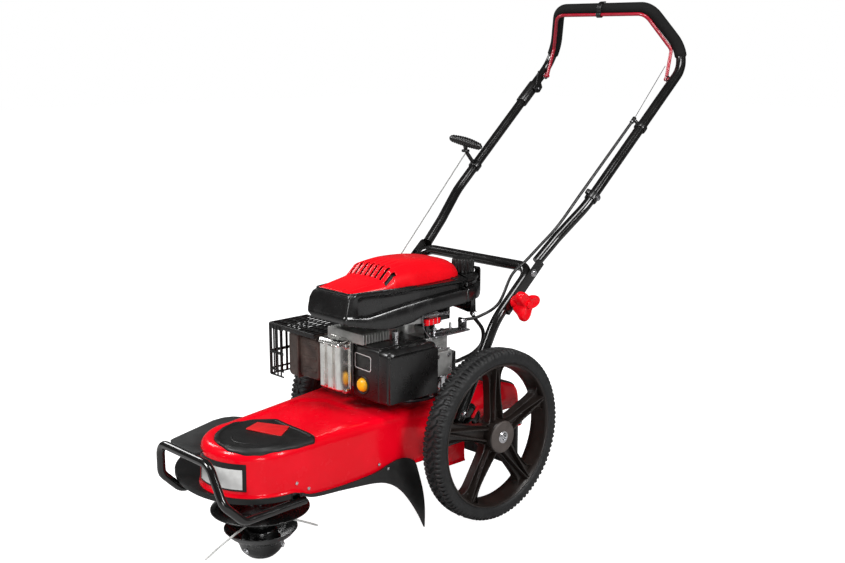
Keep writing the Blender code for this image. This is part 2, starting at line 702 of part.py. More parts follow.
def wheel_parts(label, side):
    """A tyre, a five-spoke rim and a hub cap on one side of the mower."""
    axis = "X" if side > 0 else "-X"
    outer = TRACK_OUT
    centre = (side * (outer - TYRE_W / 2), 0, WHEEL_R)
    half = TYRE_W / 2
    seat = WHEEL_R - TYRE_WALL
    tread = [(seat, half), (WHEEL_R - 0.010, half), (WHEEL_R, half - 0.012), (WHEEL_R, -half + 0.012),
             (WHEEL_R - 0.010, -half), (seat, -half)]
    smooth(turned(label + "_tyre", tread, "tyre_rubber", centre, axis, 32, True), 30)
    rim_r = seat - GAP
    rim_half = RIM_W / 2
    ring = [(rim_r - RIM_DEPTH, rim_half), (rim_r, rim_half), (rim_r, -rim_half), (rim_r - RIM_DEPTH, -rim_half)]
    rim = turned(label + "_rim", ring, "brown_plastic", centre, axis, 32, True)
    hub_face = side * (outer + HUB_OUT)
    hub = rod(label + "_hub", (hub_face - side * HUB_W, 0, WHEEL_R), (hub_face, 0, WHEEL_R), HUB_R, "brown_plastic",
              20)
    join(rim, hub)
    middle = side * (outer - 0.018)
    for index in range(SPOKES):
        angle = SPOKE_START + index * 2 * math.pi / SPOKES
        reach = Vector((0, math.cos(angle), math.sin(angle)))
        across = Vector((0, -math.sin(angle), math.cos(angle)))
        rings = []
        for distance, width in ((HUB_R - 0.010, SPOKE_W * 1.15), (rim_r - RIM_DEPTH + 0.004, SPOKE_W * 0.9)):
            base = Vector((middle, 0, WHEEL_R)) + reach * distance
            ring = [base + across * (u * width / 2) + Vector((v * SPOKE_T / 2, 0, 0))
                    for u, v in ((-1, -1), (1, -1), (1, 1), (-1, 1))]
            rings.append(ring)
        spoke = loft(label + "_spoke", rings, "brown_plastic")
        join(rim, spoke)
    bore = rod(label + "_bore", (hub_face - side * (HUB_W + 0.01), 0, WHEEL_R), (hub_face + side * 0.01, 0, WHEEL_R),
               AXLE_R + GAP, "steel", 16)
    cut(rim, bore)
    face = TRACK_OUT + HUB_OUT + GAP
    cap = [(AXLE_R + GAP, CAP_T), (HUB_R * 0.9, CAP_T), (HUB_R, 0), (AXLE_R + GAP, 0)]
    turned(label + "_hub_cap", cap, "brown_plastic", (side * face, 0, WHEEL_R), axis, 20, True)


# Handle

def build_lower_handle():
    knee = along_handle(-LEG_STRAIGHT)
    foot = Vector((0, LEG_FOOT_Y, LEG_FOOT_Z))
    top = along_handle(CROSSBAR_UP)
    near = [Vector((LEG_X, point.y, point.z)) for point in (foot, knee, top)]
    points = near + [mirrored(point) for point in reversed(near)]
    path = rounded_path(points, [0.16, CROSSBAR_BEND, CROSSBAR_BEND, 0.16], 4)
    handle = tube("lower_handle", path, TUBE_R, "black_tube")
    web_out = LEG_X + TUBE_R + GAP + CHANNEL_T
    for side in (1, -1):
        bolt_from = (side * (LEG_X - 0.012), PIVOT_Y, PIVOT_Z)
        bolt_to = (side * (web_out + GAP), PIVOT_Y, PIVOT_Z)
        join(handle, rod("pivot_bolt", bolt_from, bolt_to, PIVOT_BOLT_R, "steel", 12))
        join(handle, rod("pivot_bolt_head", bolt_to, (side * (web_out + 0.005), PIVOT_Y, PIVOT_Z), 0.0075, "steel",
                         12))
        place = along_handle(-KNOB_BELOW)
        join(handle, rod("knob_bolt", (side * LEG_X, place.y, place.z), (side * (web_out + 0.020), place.y, place.z),
                         KNOB_BOLT_R, "steel", 12))
        join(handle, rod("foot_bolt", (side * (LEG_X - 0.004), LEG_FOOT_Y + 0.008, LEG_FOOT_Z + 0.014),
                         (side * (LEG_X + TUBE_R + 0.004), LEG_FOOT_Y + 0.008, LEG_FOOT_Z + 0.014), 0.007, "steel",
                         12))


def channel_end(name, side):
    """The pressed lower end of the upper handle: a web outside the leg and a flange behind it."""
    web_in = LEG_X + TUBE_R + GAP
    web_out = web_in + CHANNEL_T
    half = TUBE_R + GAP
    section = [(web_out, -half), (web_out, half + CHANNEL_T), (web_in - FLANGE_DEPTH, half + CHANNEL_T),
               (web_in - FLANGE_DEPTH, half), (web_in, half), (web_in, -half)]
    rings = [[along_handle(distance, back, side * x) for x, back in section]
             for distance in (-CHANNEL_BELOW, CHANNEL_ABOVE)]
    channel = loft(name, rings, "black_tube")
    flip = bmesh.new()
    flip.from_mesh(channel.data)
    bmesh.ops.recalc_face_normals(flip, faces=flip.faces)
    flip.to_mesh(channel.data)
    flip.free()
    cut(channel, rod(name + "_pivot_hole", (side * (web_in - 0.02), PIVOT_Y, PIVOT_Z),
                     (side * (web_out + 0.02), PIVOT_Y, PIVOT_Z), PIVOT_BOLT_R + GAP, "steel", 12))
    slot = KNOB_BOLT_R + 0.0015
    centre = along_handle(-KNOB_BELOW)
    rings = [[along_handle(-KNOB_BELOW + up, back, side * x) for x, back in
              ((web_in - 0.004, slot), (web_in - 0.004, -0.03), (web_out + 0.004, -0.03), (web_out + 0.004, slot))]
             for up in (-slot - 0.001, slot)]
    mouth = loft(name + "_slot", rings, "steel")
    flip = bmesh.new()
    flip.from_mesh(mouth.data)
    bmesh.ops.recalc_face_normals(flip, faces=flip.faces)
    flip.to_mesh(mouth.data)
    flip.free()
    cut(channel, mouth)
    return channel


def upper_side_points():
    """The left side of the upper handle, from its lower end to the corner of the grip bar."""
    return [along_handle(TUBE_START, 0, LEG_X + GAP + CHANNEL_T), along_handle(KINK_UP, 0, KINK_X),
            along_handle(SPREAD_UP, 0, SPREAD_X), along_handle(ELBOW_UP, 0, ELBOW_X),
            Vector((GRIP_CORNER_X, GRIP_Y, GRIP_Z))]


def upper_handle_path():
    near = upper_side_points()
    bends = [0.20, 0.20, ELBOW_BEND, GRIP_BEND]
    return rounded_path(near + [mirrored(point) for point in reversed(near)], bends + list(reversed(bends)),
                        HANDLE_STEPS)


def build_upper_handle():
    handle = tube("upper_handle", upper_handle_path(), TUBE_R, "black_tube")
    for side, name in ((1, "channel_left"), (-1, "channel_right")):
        join(handle, channel_end(name, side))


def handle_bore():
    """The cutter for all that is fitted round the upper handle, with the handle's own facets."""
    found = bpy.data.objects.get("handle_bore")
    return found or tube("handle_bore", upper_handle_path(), TUBE_R + GAP, "black_tube")


def build_foam_grip():
    """A foam sleeve on the grip bar and down both of its corners."""
    path = upper_handle_path()
    first = 1 + 2 * (HANDLE_STEPS + 1) + HANDLE_STEPS - 2
    foam = tube("foam_grip", path[first:-first], FOAM_R, "foam")
    cut(foam, handle_bore())


def bail_bar():
    return Vector((0, GRIP_Y - BAIL_AHEAD, GRIP_Z - BAIL_BELOW))


def build_bail():
    pivot = along_handle(BAIL_PIVOT_UP)
    bar = bail_bar()
    near = [Vector((BAIL_LEG_X, pivot.y, pivot.z)), Vector((BAIL_ELBOW_X, BAIL_ELBOW_Y, BAIL_ELBOW_Z)),
            Vector((BAIL_CORNER_X, bar.y, bar.z))]
    points = near + [mirrored(point) for point in reversed(near)]
    bail = tube("bail", rounded_path(points, [0.012, 0.030, 0.030, 0.012], 3), BAIL_R, "crimson_paint", 2)
    for side in (1, -1):
        reach = tube_x_at(BAIL_PIVOT_UP) - TUBE_R - GAP
        join(bail, rod("bail_end", (side * (BAIL_LEG_X - BAIL_R), pivot.y, pivot.z), (side * reach, pivot.y, pivot.z),
                       BAIL_R + 0.0004, "crimson_paint", 12))


def build_bail_clip():
    """A collar on the bail's bar with an open jaw that snaps onto the front of the grip."""
    bar = bail_bar()
    inner = FOAM_R + PLAY
    outer = inner + CLIP_T
    jaw = arc((GRIP_Y, GRIP_Z), outer, 80, 285, 14) + arc((GRIP_Y, GRIP_Z), inner, 285, 80, 14)
    turn = (math.pi / 2, 0, math.pi / 2)
    clip = plate("bail_clip", jaw, CLIP_W, "black_plastic", (0, 0, 0), turn)
    join(clip, rod("clip_collar", (-CLIP_W / 2, bar.y, bar.z), (CLIP_W / 2, bar.y, bar.z), BAIL_R + 0.0028,
                   "black_plastic", 16))
    cut(clip, rod("clip_hole", (-CLIP_W, bar.y, bar.z), (CLIP_W, bar.y, bar.z), BAIL_R + GAP, "black_plastic", 16))
    cut(clip, rod("grip_hole", (-CLIP_W, GRIP_Y, GRIP_Z), (CLIP_W, GRIP_Y, GRIP_Z), inner, "black_plastic", 32))


# Engine

def build_crankcase():
    """The engine block, notched at its front left for the air filter, with the oil filler on its right."""
    left, right = CRANK_X - CASE_HALF_X, CRANK_X + CASE_HALF_X
    notch_y = FILTER_Y1 + 2 * GAP
    outline = [(left, CASE_FRONT_Y), (FILTER_X0 - 0.002, CASE_FRONT_Y), (FILTER_X0 - 0.002, notch_y),
               (right, notch_y), (right, CASE_REAR_Y), (left, CASE_REAR_Y)]
    low = ENGINE_Z + 0.010
    case = plate("crankcase", outline, CASE_TOP_Z - low, "cast_aluminium", (0, 0, (CASE_TOP_Z + low) / 2))
    join(case, rod("case_flange", (CRANK_X, CRANK_Y, DECK_TOP_Z + GAP), (CRANK_X, CRANK_Y, ENGINE_Z + 0.014), 0.070,
                   "cast_aluminium", 32))
    join(case, rod("case_tower", (CRANK_X, CRANK_Y, CASE_TOP_Z - 0.01), (CRANK_X, CRANK_Y, FAN_Z - 0.004), 0.0195,
                   "cast_aluminium", 20))
    filler = (OIL_X, OIL_Y, OIL_Z)
    join(case, tube("filler_tube", [(left + 0.010, OIL_Y, OIL_Z - 0.100), (OIL_X, OIL_Y, OIL_Z - 0.060), filler],
                    0.011, "cast_aluminium", 2))
    cut(case, rod("crank_bore", (CRANK_X, CRANK_Y, 0.2), (CRANK_X, CRANK_Y, 0.5), SHAFT_R + GAP, "steel", 16))


def build_crankshaft():
    """The shaft with its belt pulley at the lower end."""
    shaft = rod("crankshaft", (CRANK_X, CRANK_Y, PULLEY_Z - 0.006), (CRANK_X, CRANK_Y, FAN_Z + FAN_T + 0.010),
                SHAFT_R, "steel", 16)
    join(shaft, pulley("engine_pulley", ENGINE_PULLEY_R, (CRANK_X, CRANK_Y)))


def pulley(name, radius, centre):
    """A grooved wheel: two rims and a floor that the belt runs on."""
    half = PULLEY_T / 2
    groove = BELT_H / 2 + 0.0008
    floor = radius - BELT_T
    profile = [(0, half), (radius + 0.002, half), (radius + 0.002, groove), (floor, groove), (floor, -groove),
               (radius + 0.002, -groove), (radius + 0.002, -half), (0, -half)]
    return turned(name, profile, "steel", (centre[0], centre[1], PULLEY_Z + half), "Z", 24)


def build_flywheel():
    half = FAN_T / 2
    bore = SHAFT_R + GAP
    profile = [(bore, half * 0.4), (0.030, half * 0.4), (FAN_R - 0.018, half), (FAN_R, half), (FAN_R, -half),
               (bore, -half)]
    turned("flywheel", profile, "cast_aluminium", (CRANK_X, CRANK_Y, FAN_Z + half), "Z", 24, True)


def build_cylinder():
    """The barrel with its fins, which are cut back beside the air filter and wider above it."""
    back_y = CASE_FRONT_Y - GAP
    barrel = rod("cylinder", (CYL_X, back_y, CYL_Z), (CYL_X, CYL_FRONT_Y, CYL_Z), BARREL_R,
                 "cast_aluminium", 20)
    over = FILTER_Z1 + 0.003
    outline = [(FIN_RIGHT, 0.288), (FIN_LEFT, 0.288), (FIN_LEFT, over), (FIN_TOP_LEFT, over),
               (FIN_TOP_LEFT, FIN_TOP_Z), (FIN_RIGHT, FIN_TOP_Z)]
    pitch = (back_y - 0.006 - CYL_FRONT_Y - 0.002) / (FIN_COUNT - 1)
    for index in range(FIN_COUNT):
        y = CYL_FRONT_Y + 0.002 + index * pitch
        join(barrel, plate("fin", outline, FIN_T, "cast_aluminium", (0, y + FIN_T / 2, 0), (math.pi / 2, 0, 0)))


def build_valve_cover():
    back = CYL_FRONT_Y - GAP
    cover = box("valve_cover", (-0.012, back - 0.034, 0.278), (0.054, back, 0.388),
                "polished_aluminium")
    bevel(cover, 0.009, 3)
    smooth(cover, 30)


def build_muffler():
    muffler = box("muffler", (MUFFLER_X0, MUFFLER_Y0, MUFFLER_Z0), (MUFFLER_X1, MUFFLER_Y1, MUFFLER_Z1),
                  "muffler_steel", 0.008, 2)
    y = (MUFFLER_Y0 + MUFFLER_Y1) / 2
    join(muffler, rod("exhaust_pipe", (MUFFLER_X1 - 0.009, y, CYL_Z), (CYL_X - BARREL_R - GAP, y, CYL_Z), 0.010,
                      "muffler_steel", 12))


def build_muffler_guard():
    """A pressed cage over the top, the right side and part of the front of the muffler."""
    low = Vector((MUFFLER_X0 - GUARD_SIDE, MUFFLER_Y0 - GUARD_CLEAR, MUFFLER_Z0 - GUARD_CLEAR))
    high = Vector((MUFFLER_X1 + 0.002, MUFFLER_Y1 + 0.008, MUFFLER_Z1 + GUARD_CLEAR))
    guard = box("muffler_guard", low, high, "black_plastic", 0.003, 1)
    thick = 0.002
    cut(guard, box("guard_hollow", (low.x + thick, low.y + thick, low.z - 0.02),
                   (high.x + 0.02, high.y + 0.02, high.z - thick), "black_plastic"))
    cut(guard, box("guard_front", (MUFFLER_X0 - 0.006, low.y - 0.01, low.z - 0.02),
                   (high.x + 0.02, low.y + 0.01, MUFFLER_Z1), "black_plastic"))
    for index in range(3):
        x = low.x + 0.010 + index * 0.014
        cut(guard, box("guard_slot", (x, low.y - 0.01, low.z + 0.014), (x + 0.008, low.y + 0.01, high.z - 0.014),
                       "black_plastic"))
    for index in range(5):
        y = low.y + 0.012 + index * 0.018
        cut(guard, box("guard_vent", (low.x + 0.018, y, high.z - 0.01), (high.x - 0.018, y + 0.009, high.z + 0.01),
                       "black_plastic"))
        cut(guard, box("guard_side", (low.x - 0.01, y, low.z + 0.016), (low.x + 0.01, y + 0.009, high.z - 0.016),
                       "black_plastic"))
    strap = box("guard_strap", (high.x - 0.013, high.y - 0.004, MUFFLER_Z1 - 0.028),
                (high.x - 0.003, CASE_FRONT_Y - GAP, high.z - 0.001),
                "black_plastic")
    join(guard, strap)


def build_air_filter():
    base = box("air_filter_base", (FILTER_X0, FILTER_Y0, FILTER_Z0), (FILTER_SPLIT_X, FILTER_Y1, FILTER_Z1),
               "black_plastic", 0.006, 2)
    seat = rod("bulb_seat", (BULB_X, FILTER_Y0 - 0.01, BULB_Z), (BULB_X, FILTER_Y0 + 0.012, BULB_Z), BULB_R + PLAY,
               "black_plastic", 20)
    cut(base, seat)
    box("air_filter_cover", (FILTER_SPLIT_X + GAP, FILTER_Y0, FILTER_Z0), (FILTER_X1, FILTER_Y1, FILTER_Z1),
        "black_plastic", 0.008, 3)
    profile = [(0, BULB_OUT), (BULB_R * 0.62, BULB_OUT * 0.78), (BULB_R * 0.92, BULB_OUT * 0.32), (BULB_R, 0),
               (BULB_R, -0.006), (0, -0.006)]
    smooth(turned("primer_bulb", profile, "yellow_rubber", (BULB_X, FILTER_Y0, BULB_Z), "-Y", 20), 50)


def build_carburettor():
    low_y = FILTER_Y1 + GAP
    carb = box("carburettor", (CRANK_X + CASE_HALF_X + 2 * GAP, low_y, 0.292), (0.146, low_y + 0.062, 0.352),
               "cast_aluminium", 0.004, 1)
    join(carb, rod("float_bowl", (0.1335, low_y + 0.030, 0.272), (0.1335, low_y + 0.030, 0.300), 0.014,
                   "cast_aluminium", 16))


def shroud_outline(inset, start, end):
    """The blower housing's plan between two Y stations, counter-clockwise from above."""
    stations = [(SHROUD_FRONT_Y, 0.053), (-0.205, 0.074), (-0.090, 0.090), (0.000, 0.097), (0.035, 0.094),
                (0.062, 0.075), (TANK_REAR_Y, 0.050)]
    ys = [y for y, half in stations if start < y < end]
    ys = [start + inset] + ys + [end - inset]
    half_at = lambda y: float(np.interp(y, [s[0] for s in stations], [s[1] for s in stations])) - inset
    near = [(CRANK_X + 0.002 + half_at(y), y) for y in ys]
    far = [(CRANK_X + 0.002 - half_at(y), y) for y in reversed(ys)]
    return near + far


def build_blower_housing():
    """The black cowl over the flywheel, open below."""
    rings = [[(x, y, z) for x, y in shroud_outline(inset, SHROUD_FRONT_Y, SHROUD_REAR_Y)]
             for inset, z in ((0.004, SHROUD_Z), (0.0, SHROUD_Z + 0.012), (0.003, SHROUD_TOP_Z - 0.012),
                              (0.014, SHROUD_TOP_Z))]
    cowl = wall(loft("blower_housing", rings, "black_plastic", cap_first=False), SHROUD_T)
    for x, y in ((-0.032, -0.110), (-0.032, -0.045), (0.112, -0.088), (0.036, -0.157)):
        join(cowl, rod("cowl_post", (x, y, CASE_TOP_Z + GAP), (x, y, SHROUD_TOP_Z - 0.002), 0.005, "black_plastic",
                       10))


def build_fuel_tank():
    rings = [[(x, y, z) for x, y in shroud_outline(inset, SHROUD_REAR_Y + GAP, TANK_REAR_Y)]
             for inset, z in ((0.006, TANK_LOW_Z), (0.0, TANK_LOW_Z + 0.012), (0.003, SHROUD_TOP_Z - 0.012),
                              (0.010, SHROUD_TOP_Z))]
    tank = loft("fuel_tank", rings, "black_plastic")
    join(tank, rod("filler_neck", (CAP_X, CAP_Y, SHROUD_TOP_Z - 0.006), (CAP_X, CAP_Y, SHROUD_TOP_Z + 0.008), 0.014,
                   "black_plastic", 20))
    cap = [(0, 0.030), (CAP_R - 0.0025, 0.030), (CAP_R, 0.027), (CAP_R, 0.001), (0.0150, 0.001), (0.0150, 0.010),
           (0, 0.010)]
    turned("fuel_cap", cap, "black_plastic", (CAP_X, CAP_Y, SHROUD_TOP_Z), "Z", 24)
    half = 0.030
    foot = box("tank_foot", (CRANK_X - half, CASE_REAR_Y + GAP, CASE_TOP_Z - 0.030),
               (CRANK_X + half, CASE_REAR_Y + 0.006, FAN_Z - 0.004), "black_plastic")
    arm = box("tank_arm", (CRANK_X - half, CASE_REAR_Y + GAP, FAN_Z - 0.014),
              (CRANK_X + half, SHROUD_REAR_Y + 0.020, FAN_Z - 0.004), "black_plastic")
    post = box("tank_post", (CRANK_X - half, SHROUD_REAR_Y + 0.010, FAN_Z - 0.014),
               (CRANK_X + half, SHROUD_REAR_Y + 0.020, TANK_LOW_Z + 0.004), "black_plastic")
    join(tank, foot, arm, post)


def build_starter_cover():
    """The red cover on top of the cowl, a dome with louvres."""
    base = SHROUD_TOP_Z + GAP
    stations = [(-0.276, 0.049, 0.004), (-0.235, 0.055, 0.012), (-0.192, 0.065, 0.019), (-0.168, 0.071, 0.042),
                (-0.120, 0.073, 0.047), (-0.060, 0.072, 0.045), (-0.015, 0.066, 0.038), (0.008, 0.058, 0.030),
                (0.026, 0.044, 0.012)]
    centre = CRANK_X + 0.002
    rows = []
    for y, half, height in stations:
        rows.append([(centre + half, y, base), (centre + half * 0.96, y, base + height * 0.45),
                     (centre + half * 0.72, y, base + height * 0.86), (centre, y, base + height),
                     (centre - half * 0.72, y, base + height * 0.86), (centre - half * 0.96, y, base + height * 0.45),
                     (centre - half, y, base)])
    shape = bmesh.new()
    grid = [[shape.verts.new(point) for point in row] for row in rows]
    for first, second in zip(grid, grid[1:]):
        for index in range(len(first) - 1):
            shape.faces.new((first[index], second[index], second[index + 1], first[index + 1]))
    shape.faces.new(grid[0])
    shape.faces.new(list(reversed(grid[-1])))
    shape.faces.new([row[0] for row in reversed(grid)] + [row[-1] for row in grid])
    bmesh.ops.recalc_face_normals(shape, faces=shape.faces)
    bmesh.ops.triangulate(shape, faces=shape.faces)
    cover = add_object("starter_cover", mesh_from_bmesh("starter_cover", shape), "red_plastic")
    for index in range(LOUVRES):
        x = centre + (index - (LOUVRES - 1) / 2) * LOUVRE_PITCH
        cut(cover, box("louvre", (x - LOUVRE_HALF_W, -0.191, base + 0.013), (x + LOUVRE_HALF_W, -0.161, base + 0.070),
                       "red_plastic"))
    smooth(cover, 35)


def build_control_bracket():
    x0 = CRANK_X + CASE_HALF_X - 0.030
    bracket = box("control_bracket", (x0, -0.078, CASE_TOP_Z + GAP), (0.128, 0.022, CASE_TOP_Z + GAP + 0.003),
                  "steel")
    join(bracket, box("bracket_tab", (0.104, 0.008, CASE_TOP_Z + 0.002), (0.128, 0.011, 0.402), "steel"))
    join(bracket, rod("brake_post", (0.114, -0.070, CASE_TOP_Z + 0.002), (0.114, -0.070, 0.396), 0.003, "steel", 10))
    arm = box("brake_arm", (0.106, -0.078, 0.384), (0.122, -0.020, 0.388), "steel")
    cut(arm, rod("brake_arm_hole", (0.114, -0.070, 0.37), (0.114, -0.070, 0.41), 0.003 + GAP, "steel", 12))
    join(arm, rod("brake_arm_pin", (0.116, -0.026, 0.386), (0.116, -0.026, 0.398), 0.0025, "steel", 8))


def build_fuel_hose():
    route = [(0.100, 0.050, TANK_LOW_Z - 0.0024), (0.100, 0.060, 0.392), (0.104, 0.082, 0.362), (0.106, 0.078, 0.334),
             (0.108, 0.050, 0.318), (0.120, 0.005, 0.316), (0.130, -0.020, 0.318),
             (0.132, FILTER_Y1 + 0.062 + 4 * GAP, 0.320)]
    tube("fuel_hose", smooth_path(route, 18), 0.004, "black_rubber", 2)


def build_dipstick():
    cap = [(0, 0.020), (0.012, 0.020), (0.0135, 0.017), (0.0135, 0.0), (0.0, 0.0)]
    turned("dipstick", cap, "black_plastic", (OIL_X, OIL_Y, OIL_Z + GAP), "Z", 16)


# Belt drive and head

def build_drive_belt():
    """One loop round both pulleys: two arcs and two straight runs."""
    engine = Vector((CRANK_X, CRANK_Y))
    head = Vector((HEAD_X, HEAD_Y))
    reach = (head - engine).length
    line = math.degrees(math.atan2(head.y - engine.y, head.x - engine.x))
    lean = math.degrees(math.asin((HEAD_PULLEY_R - ENGINE_PULLEY_R) / reach))

    def loop(offset):
        near = arc(engine, ENGINE_PULLEY_R + offset, line + 90 + lean, line + 270 - lean, 9)
        far = arc(head, HEAD_PULLEY_R + offset, line - 90 - lean, line + 90 + lean, 10)
        return near + far

    z = PULLEY_Z + PULLEY_T / 2
    belt = plate("drive_belt", loop(0), BELT_H, "black_rubber", (0, 0, z))
    cut(belt, plate("belt_inside", loop(-BELT_T + 2 * GAP), BELT_H * 2, "black_rubber", (0, 0, z)))


def build_spindle():
    top = DECK_TOP_Z - DECK_T - GAP
    bore = SPINDLE_R + GAP
    low = PULLEY_Z + PULLEY_T + 0.004
    tall = top - low
    profile = [(bore, tall), (0.046, tall), (0.046, tall - 0.004), (HOUSING_R * 0.75, tall - 0.008),
               (HOUSING_R * 0.65, 0), (bore, 0)]
    turned("spindle_housing", profile, "cast_aluminium", (HEAD_X, HEAD_Y, low), "Z", 24, True)
    shaft = rod("spindle", (HEAD_X, HEAD_Y, CUP_Z - 0.020), (HEAD_X, HEAD_Y, top - 0.004), SPINDLE_R, "steel", 20)
    join(shaft, pulley("head_pulley", HEAD_PULLEY_R, (HEAD_X, HEAD_Y)))


def build_head():
    bore = SPINDLE_R + GAP
    centre = (HEAD_X, HEAD_Y, 0)
    disc = [(bore, DISC_Z + 0.010), (0.040, DISC_Z + 0.010), (DISC_R - 0.010, DISC_Z + 0.002), (DISC_R, DISC_Z - 0.004),
            (DISC_R - 0.002, DISC_Z - 0.006), (DISC_R - 0.012, DISC_Z - 0.001), (0.040, DISC_Z + 0.006),
            (bore, DISC_Z + 0.006)]
    smooth(turned("upper_disc", disc, "black_plastic", centre, "Z", 28, True), 30)
    high, low = DISC_Z + 0.006 - GAP, CUP_Z + 0.0005
    hub = turned("line_hub", [(bore, high), (HUB_LINE_R, high), (HUB_LINE_R, low), (bore, low)],
                 "black_plastic", centre, "Z", 24, True)
    for angle in (FRONT_LINE_ANGLE, REAR_LINE_ANGLE):
        out = Vector((math.cos(angle), math.sin(angle), 0))
        middle = Vector((HEAD_X, HEAD_Y, LINE_Z))
        cut(hub, rod("line_hole", middle + out * 0.014, middle + out * 0.04, LINE_R + 2 * PLAY, "steel", 12))
    cup = [(bore, CUP_Z), (0.030, CUP_Z), (0.0345, 0.034), (0.042, 0.0400), (CUP_R - 0.011, CUP_Z - 0.007),
           (CUP_R, CUP_Z + 0.002), (CUP_R + 0.001, CUP_Z - 0.001), (CUP_R - 0.009, CUP_Z - 0.011), (0.0470, 0.0375),
           (0.0425, 0.0285), (0.0375, 0.0145), (0.0260, 0.004), (0.015, 0.0), (0.007, 0.0), (0.007, 0.006),
           (bore + 0.004, 0.020), (bore, 0.030)]
    smooth(turned("glide_cup", cup, "black_plastic", centre, "Z", 24, True), 30)


def build_lines():
    """Two free ends of stiff nylon line out of the hub, drooping a little."""
    for name, angle, reach in (("trimmer_line_front", FRONT_LINE_ANGLE, FRONT_LINE_REACH),
                               ("trimmer_line_rear", REAR_LINE_ANGLE, REAR_LINE_REACH)):
        out = Vector((math.cos(angle), math.sin(angle), 0))
        hub = Vector((HEAD_X, HEAD_Y, LINE_Z))
        path = [hub + out * (HUB_LINE_R - 0.008)]
        for share in (0.35, 0.7, 1.0):
            path.append(hub + out * reach * share - Vector((0, 0, LINE_DROOP * share ** 2)))
        tube(name, smooth_path(path, 9), LINE_R, "nylon_line", 2)


# Small controls on the handle

def build_knobs():
    web_out = LEG_X + TUBE_R + GAP + CHANNEL_T
    place = along_handle(-KNOB_BELOW)
    for name, side in (("knob_left", 1), ("knob_right", -1)):
        base_x = side * (web_out + GAP)
        neck = rod(name, (base_x, place.y, place.z), (base_x + side * KNOB_REACH * 0.55, place.y, place.z), 0.010,
                   "red_plastic", 16, 0.009)
        lobes = []
        for index in range(3):
            angle = math.radians(120 * index + 20)
            tip = Vector((0, math.cos(angle), math.sin(angle))) * (KNOB_LOBE_R - 0.009)
            start = Vector((base_x + side * KNOB_REACH * 0.78, place.y, place.z))
            lobes.append(rod(name + "_lobe", start, start + tip, 0.0105, "red_plastic", 10, 0.009))
        boss = rod(name + "_boss", (base_x + side * KNOB_REACH * 0.45, place.y, place.z),
                   (base_x + side * KNOB_REACH, place.y, place.z), 0.012, "red_plastic", 16)
        join(neck, boss, *lobes)
        cut(neck, rod(name + "_bore", (base_x - side * 0.01, place.y, place.z),
                      (side * (web_out + 0.021), place.y, place.z), KNOB_BOLT_R + GAP, "steel", 12))


def tube_x_at(distance):
    """The upper tube's X at a distance up from the pivot."""
    points = upper_side_points()
    distances = [TUBE_START, KINK_UP, SPREAD_UP, ELBOW_UP]
    return float(np.interp(distance, distances, [point.x for point in points[:4]]))


def clamp(name, distance, below, above, side, *added):
    """A collar round one of the upper tubes, open at the tube, with the pieces added to it."""
    ends = [along_handle(up, 0, side * tube_x_at(up)) for up in (distance - below, distance + above)]
    collar = tube(name, ends, TUBE_R + CLAMP_T, "black_plastic")
    join(collar, *added)
    cut(collar, handle_bore())
    return collar


def build_rope_guide():
    """A wire loop on a clamp round the right tube, and the starter grip that rests on it."""
    place = along_handle(GUIDE_UP, 0, -tube_x_at(GUIDE_UP))
    guide = clamp("rope_guide", GUIDE_UP, 0.008, 0.008, -1)
    front = place - HANDLE_BACK * 0.044
    arm = tube("guide_arm", [place - HANDLE_BACK * (TUBE_R + 0.0015), front], 0.005, "black_plastic", 2)
    join(guide, arm)
    ring = turned("guide_ring", [(0.0035, 0.003), (0.0095, 0.003), (0.0095, -0.003), (0.0035, -0.003)],
                  "black_plastic", front - HANDLE_BACK * 0.006, "Z", 16, True)
    join(guide, ring)
    return front - HANDLE_BACK * 0.006


def build_starter(eye):
    """The starter rope from the engine's top to the guide's eye, and the ribbed grip above the eye."""
    rope_start = Vector((0.006, -0.060, SHROUD_TOP_Z + ROPE_UP))
    rope_end = eye - Vector((0, 0, 0.0055))
    tube("starter_rope", [rope_start.lerp(rope_end, step / 10) for step in range(11)], 0.0015, "white_rope", 2)
    base = eye + Vector((0, 0, 0.003 + PLAY))
    grip = tube("starter_grip", [base + Vector((-0.030, -0.010, 0.015)), base + Vector((0, 0, 0.015)),
                                 base + Vector((0.034, 0.012, 0.013))], 0.0095, "black_plastic", 2)
    join(grip, rod("grip_neck", base, base + Vector((0, 0, 0.015)), 0.005, "black_plastic", 12))


